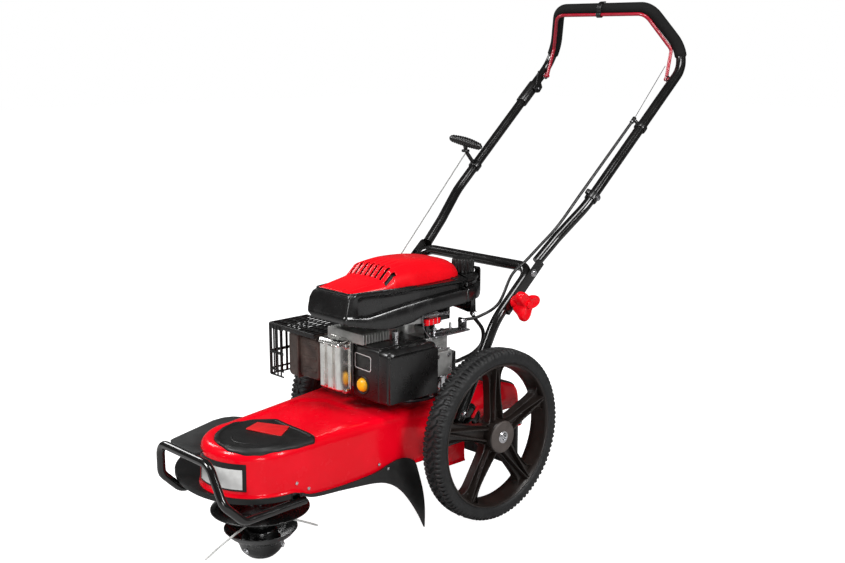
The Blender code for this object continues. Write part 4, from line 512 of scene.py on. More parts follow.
def makePad():
    # a moulded cap over the nose and its left shoulder: a border, a field, a finger lip, a bare red panel
    loop = roundedLoop([(-0.003, -0.378), (-0.034, -0.415), (-0.04, -0.45), (-0.034, -0.485),
                        (-0.012, -0.516), (0.01, -0.532), (0.04, -0.544), (0.0755, -0.546), (0.106, -0.53),
                        (0.125, -0.507), (0.135, -0.475), (0.138, -0.44), (0.138, -0.396), (0.13, -0.39),
                        (0.078, -0.385), (0.02, -0.38)],
                       [0.01, 0.02, *[0.04] * 10, 0.005, 0.008, 0.05, 0.05], 6)
    closed = np.vstack([loop, loop[:1]])
    loop = counterClockwise(evenPath(np.column_stack([closed, np.zeros(len(closed))]), 0.0035)[:-1, :2])
    rows = []
    for inset, up in ((0, 0), (0, 0.0018), (0.0008, 0.003), (0.0022, 0.0038), (0.0085, 0.0042),
                      (0.0098, 0.0034), (0.011, 0.0032)):
        flat = insetLoop(loop, inset)
        rows.append(np.column_stack([flat, deckTop(*flat.T) + up]))
    field = rows[-1][:, :2]
    for share in (0.08, 0.18, 0.32, 0.5, 0.7, 0.88, 0.985):
        flat = field + (np.array([0.055, -0.47]) - field) * share
        rows.append(np.column_stack([flat, deckTop(*flat.T) + 0.0032]))
    across = np.linspace(0, 1, 33)
    arc = np.stack([0.018 + 0.082 * across, -0.498 - 0.019 * np.sin(math.pi * across)], 1)
    lip = np.column_stack([arc, deckTop(*arc.T) + 0.0034])
    panel = roundedLoop([(0.011, -0.462), (-0.006, -0.423), (0.056, -0.393), (0.09, -0.438)], 0.002, 3)
    z = deck["topZ"]
    parts = [(solid(np.stack(rows)), "padPlastic"),
             (tubePart(lip, 0.0024 * np.sin(math.pi * (0.06 + 0.88 * across)), 10), "padPlastic"),
             (platePart(panel, z + 0.0022, z + 0.0042, 0.0003), "redInk")]
    makePiece("nosePad", parts, "chassis", ["nose_pad"])


def noseWall(a, z, out=0.0):
    # a point on the nose's wall at an angle round it and a height, standing out from it
    out = out - deck["lean"] * np.clip((z - 0.165) / 0.06, 0, 1)
    x = noseMiddle + (noseHalf + out) * np.cos(a)
    return np.stack([x, deck["noseY"] - (deck["noseR"] + out) * np.sin(a), z + 0 * a], -1)


def makeDecal():
    # a bare label on the nose: a black field with a pale panel, both wrapped round the wall
    parts = []
    for a0, a1, z0, z1, out, finish in ((46, 112, 0.1675, 0.2185, 0.0004, "padPlastic"),
                                        (50, 108, 0.171, 0.208, 0.0009, "whiteInk")):
        a, z = np.meshgrid(np.radians(np.linspace(a0, a1, 30)), np.linspace(z0, z1, 8))
        parts.append((openSheet(noseWall(a, z, out), (0, -1, 0)), finish))
    makePiece("noseLabel", parts, "chassis")


def makeSkirt():
    # a black guard under the nose's rim that reaches furthest and curls up on the right
    a = np.linspace(0, math.pi, 90)
    right = np.maximum(np.cos(a / 2), 0)
    reach, curl = 0.001 + 0.077 * right ** 6, 0.018 * right ** 8
    low, high = deck["skirtZ"] - 0.0115, deck["skirtZ"] - 0.0004
    rows = []
    for out, z, share in ((-0.01, high, 0), (-0.006, high, 0), (0.8, high, 0.85), (0.97, high - 0.001, 1),
                          (1, high - 0.003, 1), (1, low + 0.003, 1), (0.97, low + 0.0008, 1),
                          (0.9, low, 0.9), (-0.01, low, 0)):
        wide = reach * out if out > 0 else np.full_like(a, out)
        x = noseMiddle - (noseHalf + wide) * np.cos(a)
        y = deck["noseY"] - 0.001 - (deck["noseR"] + wide) * np.sin(a)
        rows.append(np.stack([x, y, z + curl * share], -1))
    grid = np.stack(rows, 1)
    makePiece("noseSkirt", [(solid(grid), "padPlastic")], "chassis", ["front_skirt"], 40)


def makeShield():
    # the flat guard beside the nose, with its rear edge turned down a little, and two bolts
    inner = noseWall(math.pi - np.linspace(0, math.radians(77), 9), 0.2235, 0.0003)[:, :2]
    corner = (float(deckFarX(-0.383)) + 0.0027, -0.383)
    outer = [(-0.084, -0.568), (-0.089, -0.558), (-0.129, -0.443), (-0.13, -0.418), (-0.122, -0.4),
             (-0.098, -0.383), corner]
    front = [(0.004, -0.574), (-0.004, -0.58), (-0.07, -0.574)]
    bends = [0.006, 0.02, 0.03, 0.012, 0.012, 0.02, 0.001, *[0.01] * len(inner), 0.003, 0.003, 0.006]
    loop = roundedLoop(np.vstack([outer, inner, front]), bends, 5)
    spots = ((-0.083, -0.415, 0.2248), (-0.078, -0.452, 0.2248))
    bolts = [boltPart(spot, (0, 0, 1), 0.0035, 0.003) for spot in spots]
    parts = [(platePart(loop, 0.2215, 0.2248, 0.0008), "greyPlate"), (bolts, "zincSteel")]
    makePiece("shieldPlate", parts, "chassis", ["shield_plate"])


def makeDeflector():
    # a rubber strip under the left rim that widens into a curved guard: rows from its top edge to its foot
    top = smoothPath([(0, -0.44, 0.1525), (0, -0.41, 0.143), (0, -0.34, 0.1405), (0, -0.262, 0.144),
                      (0, -0.228, 0.1515), (0, -0.2, 0.156), (0, -0.176, 0.153), (0, -0.157, 0.14),
                      (0, -0.15, 0.116)], 72)
    foot = smoothPath([(0, -0.44, 0.147), (0, -0.41, 0.1365), (0, -0.34, 0.1315), (0, -0.262, 0.124),
                       (0, -0.225, 0.112), (0, -0.2, 0.093), (0, -0.181, 0.067), (0, -0.166, 0.038),
                       (0, -0.156, 0.01)], 72)
    share = np.linspace(0, 1, 14)[:, None, None]
    grid = top + (foot - top) * share
    drop = np.maximum(deck["skirtZ"] - grid[..., 2], 0) / deck["skirtZ"]
    grid[..., 0] = deck["nearX"] + 0.0053 + 0.03 * drop ** 1.4
    grid[..., 1] += 0.008 * np.sin(math.pi * share[..., 0]) * smoothStep(0.6, 1, np.linspace(0, 1, 72))
    parts = [(openSheet(grid, (1, 0, 0)), "blackRubber")]
    piece = makePiece("sideDeflector", parts, "chassis", ["side_deflector"], 60, -0.004)
    soft = piece.modifiers.new("edge", "BEVEL")
    soft.width, soft.segments, soft.limit_method, soft.angle_limit = 0.0012, 2, "ANGLE", math.radians(60)
    spots = ((0.0006, -0.246, 0.156), (0.0076, -0.229, 0.145), (0.0004, -0.418, 0.1535),
             (0.0002, -0.445, 0.1705))
    bolts = [boltPart((deck["nearX"] + out, y, z), (1, 0, 0), 0.0022, 0.0018) for out, y, z in spots]
    makePiece("deflectorBolts", [(bolts, "zincSteel")], "chassis")


def makeBumper():
    # a bent tube round the front, and a small foot at each of its two ends
    near, far, y, top, low = 0.142, -0.066, -0.6, 0.232, 0.132
    left = [(near, -0.425, low), (near, -0.56, low - 0.004), (near - 0.004, y, 0.168), (near - 0.045, y, top)]
    right = [(far, y, top), (far, y, 0.172), (far, -0.56, low), (far, -0.425, low)]
    path = evenPath(roundedPath(left + right, [0.022, 0.022, 0.03, 0.022, 0.022, 0.025], 12), 0.006)
    parts = [tubePart(path, 0.008, 28, (0.05, 0.6, 0.8))]
    for x in (near - 0.014, far + 0.01):
        parts.append(boxPart((x - 0.006, -0.447, low - 0.004), (x + 0.006, -0.428, 0.172), 0.003, 0.001))
    makePiece("bumperTube", [(parts, "blackTube")], "chassis", ["front_bumper"])


makeDeck()
makePad()
makeDecal()
makeSkirt()
makeShield()
makeDeflector()
makeBumper()
print("deck and guards made")


# Wheels

wheel = {"radius": 0.178, "outer": 0.2376, "wide": 0.05, "seat": 0.1495, "lug": 0.0042, "shoulderLugs": 104,
         "centreLugs": 52, "spokes": 5, "spokeStart": math.radians(93), "hub": 0.034}


def wheelSide(side):
    return "left" if side > 0 else "right"


def treadRise(angle, across):
    # lugs are square waves of the angle: a staggered middle row, and shoulder rows with every other lug long
    wave = lambda value: np.clip(np.sin(value) * 2.6 + 0.75, 0, 1)
    side = np.abs(across)
    middle = wave((angle + across * 5.5) * wheel["centreLugs"]) * (1 - smoothStep(0.006, 0.0074, side))
    shift = np.where(across > 0, 0.0, math.pi)
    shoulder = wave(angle * wheel["shoulderLugs"] + shift + side * 40)
    reach = np.where(np.sin((angle * wheel["shoulderLugs"] + shift) / 2) > 0, 0.0225, 0.0205)
    outer = shoulder * smoothStep(0.0086, 0.0098, side) * (1 - smoothStep(reach, reach + 0.002, side))
    return np.maximum(middle, outer)


def makeTyre(name, body, side):
    # radius as a function of the angle round the wheel and the place across the tread
    half, turns = wheel["wide"] / 2, wheel["shoulderLugs"] * 8
    contour = roundedPath([(half - 0.004, wheel["seat"]), (half - 0.0012, 0.1535), (half, 0.16),
                           (half - 0.001, 0.168), (half - 0.007, 0.172), (0, 0.1737)],
                          [0.002, 0.006, 0.006, 0.006], 4)
    run = np.concatenate([[0], np.cumsum(np.linalg.norm(np.diff(contour, axis=0), axis=1))])
    at = np.linspace(0, run[-1], 24)
    across, radius = np.interp(at, run, contour[:, 0]), np.interp(at, run, contour[:, 1])
    across, radius = np.concatenate([across, -across[-2::-1]]), np.concatenate([radius, radius[-2::-1]])
    spin, out = np.meshgrid(np.arange(turns) * 2 * math.pi / turns, across, indexing="ij")
    reach = radius[None] + wheel["lug"] * treadRise(spin, out) * smoothStep(0.1655, 0.17, radius)[None]
    x = side * (wheel["outer"] - half + out)
    grid = np.stack([x, reach * np.cos(spin), wheel["radius"] + reach * np.sin(spin)], -1)
    shell = turnedOut(grid.reshape(-1, 3), quadIndex(turns, len(across), True, True), [])
    makePiece(name, [(shell, "tyreRubber")], body, [wheelSide(side) + "_tyre"], 38)


def spokePart(side, angle):
    # stations along the spoke; at each, a web whose front has two ridges that close on each other outwards
    steps, columns = 46, 41
    reach = np.linspace(wheel["hub"] - 0.006, 0.1445, steps)
    u = (reach - reach[0]) / (reach[-1] - reach[0])
    half = 0.0165 + 0.011 * np.exp(-(reach - 0.024) / 0.01) + 0.02 * np.exp(-(0.1435 - reach) / 0.008)
    across = half[:, None] * np.linspace(-1, 1, columns)
    ridge = (0.0125 * (1 - u) + 0.0026 * u)[:, None]
    height = 0.0125 * smoothStep(0.003, 0.0014, np.abs(np.abs(across) - ridge))
    height *= smoothStep(-0.02, 0.06, u)[:, None]
    floor = -0.0165 - 0.0015 * np.sin(math.pi * u)[:, None]
    inside = half[:, None] - np.abs(across)
    lip = 0.006 * smoothStep(0.0026, 0.001, inside)
    front = floor + np.maximum(height, lip) - 0.0015 * smoothStep(0.0016, 0.0, inside)
    out = np.concatenate([front, np.full_like(front, -0.031)], 1)
    wide = np.concatenate([across, across[:, ::-1]], 1)
    y = reach[:, None] * math.cos(angle) - wide * math.sin(angle)
    z = wheel["radius"] + reach[:, None] * math.sin(angle) + wide * math.cos(angle)
    return solid(np.stack([side * (wheel["outer"] + out), y, z], -1))


def makeRim(name, body, side):
    # a turned ring with a thin front lip and a deep sloping barrel, the hub, and five spokes
    centre, axis = (side * wheel["outer"], 0, wheel["radius"]), (side, 0, 0)
    ring = roundedLoop([(0.1496, -0.0032), (0.147, -0.0022), (0.1452, -0.004), (0.1436, -0.0075),
                        (0.1378, -0.032), (0.1378, -0.042), (0.142, -0.0462), (0.1496, -0.0462)],
                       [0.0008, 0.001, 0.0012, 0.002, 0.003, 0.002, 0.001, 0.001], 3)
    hub = roundedLoop([(0.0068, 0.003), (0.033, 0.003), (0.034, 0.001), (0.0348, -0.02), (0.0335, -0.048),
                       (0.0068, -0.048)], [0.0001, 0.0008, 0.001, 0.004, 0.002, 0.0005], 3)
    parts = [lathe(ring, centre, axis, 120), lathe(hub, centre, axis, 60)]
    for index in range(wheel["spokes"]):
        parts.append(spokePart(side, wheel["spokeStart"] + index * 2 * math.pi / wheel["spokes"]))
    makePiece(name, [(parts, "brownPlastic")], body, [wheelSide(side) + "_rim"], 30)
    cap = roundedLoop([(0.0068, 0.0033), (0.0334, 0.0033), (0.0328, 0.0048), (0.03, 0.0061), (0.015, 0.0064),
                       (0.0068, 0.0056)], [0.0002, 0.0005, 0.001, 0.001, 0.0008, 0.0002], 3)
    parts = [(lathe(cap, centre, axis, 60), "capPlastic")]
    makePiece(name + "Cap", parts, body, [wheelSide(side) + "_hub_cap"])


def makeAxle():
    # the rod, and at each end a wide washer, a push nut with turned-in prongs and the rod's rounded tip
    up = wheel["radius"]
    parts = [(rodPart((-0.244, 0, up), (0.244, 0, up), 0.006, 24), "zincSteel")]
    ring = [(0.0062, 0.0003), (0.0122, 0.0003), (0.0126, 0.0008), (0.0122, 0.0014), (0.0062, 0.0014)]
    dome = [(0.006, 0.0014), (0.0094, 0.0014), (0.0096, 0.0024), (0.008, 0.0034), (0.0058, 0.0036)]
    for side in (1, -1):
        face = side * (wheel["outer"] + 0.0056)
        parts += [(lathe(p, (face, 0, up), (side, 0, 0), 48), "zincSteel") for p in (ring, dome)]
        for turn in range(3):
            a = turn * 2 * math.pi / 3 + 0.4
            tip = np.array([face + side * 0.0016, 0.0052 * math.cos(a), up + 0.0052 * math.sin(a)])
            prong = rodPart(tip, tip + np.array([side * 0.0012, 0.0012, 0.0004]), 0.0016, 8, 0.0003)
            parts.append((prong, "darkSteel"))
    makePiece("axleRod", parts, "chassis", ["axle"])


for side, body in ((1, "left_wheel"), (-1, "right_wheel")):
    makeTyre(wheelSide(side) + "Tyre", body, side)
    makeRim(wheelSide(side) + "Rim", body, side)
makeAxle()
print("wheels made")


# Cutting head under the nose

head = {"x": 0.044, "y": -0.457, "bore": 0.0083, "hub": 0.027, "lineZ": 0.078, "line": 0.002, "droop": 0.014,
        "lines": (("trimmerLineFront", "trimmer_line_front", -69, 0.175),
                  ("trimmerLineRear", "trimmer_line_rear", 42, 0.11))}


def heading(turn):
    # a level direction from its angle in degrees
    return np.array([math.cos(math.radians(turn)), math.sin(math.radians(turn)), 0])


def makeHead():
    # a dished guard disc, a spool with two eyelets, and the flared cup that glides on the ground
    centre, bore = np.array([head["x"], head["y"], 0]), head["bore"]
    disc = roundedLoop([(bore, 0.113), (0.04, 0.113), (0.066, 0.1104), (0.084, 0.1052), (0.0936, 0.0994),
                        (0.0938, 0.0974), (0.092, 0.0972), (0.082, 0.1018), (0.064, 0.1068), (0.04, 0.109),
                        (bore, 0.109)], [0.0005, 0.05, 0.04, 0.03, 0.0008, 0.0005, 0.0008, 0.03, 0.04, 0.05,
                                         0.0005], 4)
    parts = [(lathe(disc, centre, steps=96), "cowlPlastic")]
    for a in np.arange(4) * math.pi / 2 + 0.4:
        spot = centre + [0.03 * math.cos(a), 0.03 * math.sin(a), 0.113]
        parts.append((boltPart(spot, (0, 0, 1), 0.004, 0.003), "zincSteel"))
    makePiece("upperDisc", parts, "head", ["upper_disc"])
    hub = roundedLoop([(bore, 0.1087), (0.0262, 0.1087), (0.027, 0.108), (0.027, 0.103), (0.0258, 0.1016),
                       (0.0258, 0.0668), (0.027, 0.0654), (0.027, 0.0592), (0.0262, 0.0585), (bore, 0.0585)],
                      0.0006, 3)
    parts = [(lathe(hub, centre, steps=64), "cowlPlastic")]
    eyelet = roundedLoop([(0.0026, 0.0), (0.005, 0.0), (0.005, 0.0016), (0.0026, 0.0016)], 0.0005, 3)
    for _, _, turn, _ in head["lines"]:
        out = heading(turn)
        parts.append((lathe(eyelet, centre + [0, 0, head["lineZ"]] + out * 0.0256, out, 28), "zincSteel"))
    makePiece("lineHub", parts, "head", ["line_hub"])
    cup = roundedLoop([(bore, 0.058), (0.03, 0.058), (0.0345, 0.0345), (0.042, 0.0405), (0.058, 0.0512),
                       (0.0686, 0.0598), (0.0698, 0.06), (0.0698, 0.058), (0.0605, 0.0472), (0.0475, 0.0378),
                       (0.0425, 0.0285), (0.0375, 0.0145), (0.026, 0.0042), (0.015, 0.0002), (0.007, 0.0),
                       (0.007, 0.006), (bore, 0.03)],
                      [0.0005, 0.004, 0.005, 0.01, 0.03, 0.0008, 0.0006, 0.0006, 0.02, 0.008, 0.012, 0.02,
                       0.012, 0.004, 0.001, 0.001, 0.0005], 4)
    parts = [(lathe(cup, centre, steps=96), "cowlPlastic")]
    for turn in (-78, 42, 162):
        out = heading(turn)
        place = centre + out * 0.0408 + (0, 0, 0.0235)
        parts.append((boltPart(place, out * 0.95 - (0, 0, 0.3), 0.0044, 0.0036), "zincSteel"))
    makePiece("glideCup", parts, "head", ["glide_cup"])


def makeLines():
    # stiff line that droops with the square of its distance from the hub
    middle, start = np.array([head["x"], head["y"], head["lineZ"]]), head["hub"] - 0.008
    share = np.linspace(0, 1, 30)[:, None]
    for name, node, turn, reach in head["lines"]:
        drop = np.array([0, 0, head["droop"]]) * share ** 2
        path = middle + heading(turn) * (start + (reach - start) * share) - drop
        radius = np.full(30, head["line"])
        radius[-1] = 0.0016
        piece = makePiece(name, [(tubePart(path, radius, 14), "nylonLine")], "head", [node])


makeHead()
makeLines()
dress("castAluminium", "spindle_housing", "flywheel")
dress("zincSteel", "spindle", "crankshaft")
dress("blackRubber", "drive_belt")
print("head made")


# Rear cover, flap and axle brackets

rear = {"half": 0.14, "low": 0.1862, "corner": 0.01, "flapHalf": 0.122,
        "pin": (0.176, 0.142), "ear": 0.128,
        "line": [(-0.0097, 0.2618), (0.03, 0.2615), (0.06, 0.26), (0.09, 0.2565), (0.125, 0.2465),
                 (0.144, 0.2385), (0.1535, 0.229), (0.157, 0.216), (0.158, 0.202), (0.158, 0.1872)]}


def coverGrid(half, out, first, last, steps=60):
    # sections across the hood: a wall, a rounded edge and the top, at stations along its side line
    line = smoothPath(np.array(rear["line"]), steps)
    slope = unit(np.gradient(line, axis=0))
    line = line + np.stack([-slope[:, 1], slope[:, 0]], 1) * out
    line = line[(line[:, 0] >= first) & (line[:, 0] <= last)]
    a = np.linspace(0, math.pi / 2, 7)
    rows = []
    for y, z in line:
        r = min(rear["corner"], max(z - rear["low"], 0.0004) * 0.9)
        top = half - r - np.linspace(0.02, 1, 8) * (half - r)
        x = np.concatenate([[half, half], half - r * (1 - np.cos(a)), top])
        wall = [rear["low"] + min(out, 0), (rear["low"] + z - r) / 2]
        up = np.concatenate([wall, z - r * (1 - np.sin(a)), np.full(8, z)])
        x, up = np.concatenate([x, -x[-2::-1]]), np.concatenate([up, up[-2::-1]])
        rows.append(np.stack([x, np.full(len(x), y), up], 1))
    return np.stack(rows)


def makeRearCover():
    # the hood behind the deck, its front wall, and the two ears that hold the flap's pin
    grid = coverGrid(rear["half"], 0.0, -1, 1)
    points, quads, _ = openSheet(grid, (0, 0.3, 1))
    width = grid.shape[1]
    wall = np.arange(width)
    if np.cross(points[1] - points[0], points[width // 2] - points[1])[1] > 0:
        wall = wall[::-1]
    makePiece("rearCover", [((points, quads, [wall]), "redPaint")], "chassis", ["rear_cover"],
              40, 0.0028)
    parts = []
    y, z = rear["pin"]
    loop = roundedLoop([(y - 0.03, z + 0.052), (y - 0.03, z + 0.01), (y - 0.008, z - 0.008),
                        (y + 0.008, z - 0.008), (y + 0.008, z + 0.006), (y - 0.016, z + 0.052)],
                       [0.002, 0.01, 0.006, 0.006, 0.008, 0.002], 6)
    for side in (1, -1):
        x, bolt = side * rear["ear"], (side * (rear["half"] + 0.0002), 0.06, 0.214)
        parts.append((platePart(loop, x - 0.002, x + 0.002, 0.0007, "x"), "redPaint"))
        parts.append((boltPart(bolt, (side, 0, 0), 0.0045, 0.0034), "zincSteel"))
    makePiece("flapEars", parts, "chassis")
    grid = coverGrid(0.1402, 0.0014, 0.052, 0.15)[:, 5:-5]
    makePiece("coverPlate", [(openSheet(grid, (0, 0.3, 1)), "greyPlate")], "chassis", (), 40,
              0.0018)


def makeFlap():
    # a rubber flap with shallow ribs on both faces, moulded round its pin
    y, z = rear["pin"]
    half = rear["flapHalf"]
    x = np.linspace(-half, half, 121)
    wave = 0.0009 * np.clip(np.cos(x * 2 * math.pi / 0.0244) * 3, -1, 1)
    rows = [(-0.0031, z - 0.002), (-0.0026 - wave, z - 0.012), (-0.0024 - wave, z - 0.06),
            (-0.0022 - wave, z - 0.104), (-0.0012, z - 0.1048)]
    rows = [(y + out, up) for out, up in rows] + [(y - out, up) for out, up in rows[::-1]]
    sheet = solid(np.stack([np.stack(np.broadcast_arrays(x, *row), -1) for row in rows], 1))
    sleeve = rodPart((-half, y, z), (half, y, z), 0.0052, 24, 0.001)
    pin = rodPart((-half - 0.0118, y, z), (half + 0.0118, y, z), 0.0039, 20)
    parts = [([sheet, sleeve], "blackRubber"), (pin, "zincSteel")]
    makePiece("rearFlap", parts, "trailing_flap", ["rear_flap"], 35)


def makeBrackets():
    # a pressed plate on each side with a bead round it, its bolts and a collar at the axle
    loop = roundedLoop([(-0.07, 0.148), (0.03, 0.148), (0.034, 0.2), (0.01, 0.226), (-0.066, 0.226)],
                       [0.01, 0.01, 0.01, 0.014, 0.01], 6)
    brace = roundedLoop([(0.0215, 0.218), (0.029, 0.213), (-0.015, 0.162), (-0.023, 0.166)], 0.003, 4)
    neck = roundedLoop([(0.0115, 0), (0.019, 0), (0.0175, 0.0058), (0.0115, 0.0058)], 0.0012, 3)
    bolts = ((-0.055, 0.21), (-0.055, 0.162), (0.022, 0.16))
    bead = insetLoop(counterClockwise(loop), 0.006)
    for side in (1, -1):
        out, name = (side, 0, 0), wheelSide(side)
        rim = np.column_stack([np.full(len(loop), side * 0.1474), bead])
        plate = platePart(loop, *sorted((side * 0.1432, side * 0.1476)), 0.0012, "x")
        parts = [([plate, tubePart(rim, 0.0016, 8, (1, 0, 0), True)], "blackTube"),
                 (platePart(brace, *sorted((side * 0.1474, side * 0.1496)), 0.0008, "x"), "redPaint"),
                 (lathe(neck, (side * 0.1476, 0, wheel["radius"]), out, 40), "blackPlastic"),
                 ([boltPart((side * 0.1477, *bolt), out, 0.0046, 0.0036) for bolt in bolts], "zincSteel")]
        makePiece("axleBracket" + name.title(), parts, "chassis", ["axle_bracket_" + name])


makeRearCover()
makeFlap()
makeBrackets()
print("rear made")


# Engine

engine = {
    "x": 0.04, "y": -0.08, "middle": 0.042, "top": 0.487, "caseTop": 0.375, "cap": (0.07, 0.056),
    "slots": 9, "slotPitch": 0.015, "slotHalf": 0.003,
    # the cowl's half width, its lower edge and its crease, each at a place along the mower
    "plan": [(-0.288, 0.056), (-0.205, 0.074), (-0.09, 0.09), (0.0, 0.097), (0.035, 0.094), (0.062, 0.075),
             (0.08, 0.05)],
    "lowEdge": [(-0.29, 0.4315), (-0.24, 0.418), (-0.188, 0.41), (-0.138, 0.416), (-0.108, 0.428),
                (-0.03, 0.436), (0.034, 0.441), (0.08, 0.443)],
    "crease": [(-0.29, 0.445), (-0.239, 0.44), (-0.181, 0.45), (-0.105, 0.46), (-0.027, 0.466),
               (0.029, 0.468), (0.08, 0.468)],
    # the red cover's place along the mower, its half width and its height over the cowl
    "domeAt": [(-0.2702, 0.0478, 0.0002), (-0.2696, 0.049, 0.0034), (-0.262, 0.0503, 0.006),
               (-0.235, 0.0555, 0.0118), (-0.205, 0.0615, 0.0168), (-0.1925, 0.0645, 0.02),
               (-0.185, 0.0665, 0.027), (-0.174, 0.069, 0.0375), (-0.166, 0.0705, 0.0418),
               (-0.12, 0.0728, 0.0466), (-0.06, 0.0718, 0.0446), (-0.015, 0.0658, 0.0378),
               (0.008, 0.0578, 0.0296), (0.02, 0.049, 0.019), (0.0255, 0.0432, 0.008),
               (0.0262, 0.042, 0.0002)]}


def lineAt(name, y):
    stations = np.array(engine[name])
    return np.interp(y, stations[:, 0], stations[:, 1])


def cowlPlan(start, end, corner, count=64):
    # the cowl's plan between two stations: the left side, the front edge and the right side, evenly spaced
    y = np.concatenate([[start], [p[0] for p in engine["plan"] if start < p[0] < end], [end]])
    half = lineAt("plan", y)
    near, far = np.stack([engine["middle"] + half, y], 1), np.stack([engine["middle"] - half, y], 1)
    bends = np.full(2 * len(y), 0.1)
    bends[[0, -1]] = 0.0015
    bends[[len(near) - 1, len(near)]] = corner
    loop = roundedLoop(np.vstack([near[::-1], far]), bends, 6)
    closed = np.vstack([loop, loop[:1]])
    run = np.concatenate([[0], np.cumsum(np.linalg.norm(np.diff(closed, axis=0), axis=1))])
    at = np.unique(np.concatenate([run[:-1], np.linspace(0, run[-1], count, endpoint=False)]).round(5))
    return counterClockwise(np.stack([np.interp(at, run, closed[:, k]) for k in range(2)], 1))


def cowlRows(loop, frontSlant):
    # rows up the side: a turned-in foot, the lower band, the crease, a scooped panel and the top edge
    y = loop[:, 1:]
    low, crease = lineAt("lowEdge", y), lineAt("crease", y)
    scoop = smoothStep(-0.27, -0.246, y) * (0.35 + 0.65 * smoothStep(0.08, 0.045, y))
    front, top = smoothStep(-0.262, -0.284, y), engine["top"]
    across = (loop[:, :1] - engine["middle"]) / lineAt("plan", y)
    bulge = smoothStep(0.0, -0.9, across) * smoothStep(-0.15, -0.265, y)
    steps = ((0.005, low, -0.004), (0.0014, low + 0.0012, -0.003), (0.0, low + 0.005, -0.001),
             (0.0, (low + crease) / 2, 0.003), (0.0, crease - 0.003, 0.007),
             (0.0006 + 0.0006 * scoop, crease - 0.0006, 0.008),
             (0.0015 + 0.0044 * scoop, crease + 0.001, 0.009),
             (0.002 + 0.0086 * scoop, crease + 0.0034, 0.011),
             (0.003 + 0.008 * scoop, (crease + top) / 2 + 0.002, 0.0125),
             (0.0032 + 0.005 * scoop, top - 0.0085, 0.008), (0.0034 + 0.001 * scoop, top - 0.005, 0.005),
             (0.0046, top - 0.0014, 0.001), (0.0062, top - 0.0003, 0.0), (0.01, top, 0.0))
    rows = []
    for inset, z, out in steps:
        flat = insetLoop(loop, inset)
        flat[:, :1] -= bulge * out
        flat[:, 1:] += frontSlant * front * np.clip((z - crease) / (top - crease), 0, 1)
        rows.append(np.hstack([flat, z * np.ones_like(y)]))
    edge = rows[-1]
    spine = np.clip(edge[:, 1], edge[:, 1].min() + 0.04, edge[:, 1].max() - 0.035)
    centre = np.column_stack([np.full(len(edge), engine["middle"]), spine, edge[:, 2]])
    rows += [edge + (centre - edge) * share for share in (0.2, 0.6, 1.0)]
    return np.stack(rows)


def makeCowl():
    # the black blower housing, open below, with a raised collar in front of the red cover, and its posts
    rows = cowlRows(cowlPlan(-0.288, 0.0, 0.008, 150), 0.01)
    shell = turnedOut(rows.reshape(-1, 3), quadIndex(len(rows), rows.shape[1]), [])
    makePiece("blowerHousing", [(shell, "cowlPlastic")], "chassis", ["blower_housing"], 38,
              0.0025)
    dome = np.array([p for p in engine["domeAt"] if -0.2696 <= p[0] <= -0.1])
    half, up = dome[:, 1] + 0.003, engine["top"] + 0.0012
    near = np.column_stack([engine["middle"] + half, dome[:, 0], np.full(len(dome), up)])[::-1]
    far = near[::-1] * [-1, 1, 1] + [2 * engine["middle"], 0, 0]
    front = [[near[-1][0] - 0.002, -0.2732, up], [far[0][0] + 0.002, -0.2732, up]]
    sides = [0.05] * (len(near) - 2)
    path = roundedPath(np.vstack([near[:-1], front, far[1:]]), sides + [0.008, 0.008] + sides, 6)
    path = evenPath(path, 0.003)
    section = roundedLoop([(-0.0022, -0.003), (0.0022, -0.003), (0.0019, 0.0016), (-0.0017, 0.0022)], 0.0009,
                          3)
    fade = np.clip(np.minimum(np.arange(len(path)), np.arange(len(path))[::-1]) / 5, 0.3, 1)[:, None, None]
    posts = ((-0.032, -0.11), (-0.032, -0.045), (0.112, -0.088), (0.036, -0.157))
    parts = [sweep(path, section[None] * fade)]
    parts += [rodPart((x, y, 0.3756), (x, y, 0.484), 0.0052, 20) for x, y in posts]
    makePiece("cowlCollar", [(parts, "cowlPlastic")], "chassis")


def domeHeight(x, y, half, height):
    # a full section: the fourth power keeps its top flat and its sides round; a panel is sunk in the hood
    out = x - engine["middle"]
    u = np.clip(np.abs(out) / half, 0, 1)
    rise = height * np.sqrt(np.maximum(1 - u ** 4, 0))
    hood = smoothStep(-0.264, -0.258, y) * smoothStep(-0.198, -0.206, y) * smoothStep(0.8, 0.72, u)
    ribs = smoothStep(0.1, 0.8, np.cos(out * 2 * math.pi / engine["slotPitch"]))
    ribs = ribs * smoothStep(0.069, 0.065, np.abs(out))
    ribs = ribs * smoothStep(-0.195, -0.189, y) * smoothStep(-0.118, -0.15, y)
    return rise - 0.0016 * hood - 0.0014 * ribs


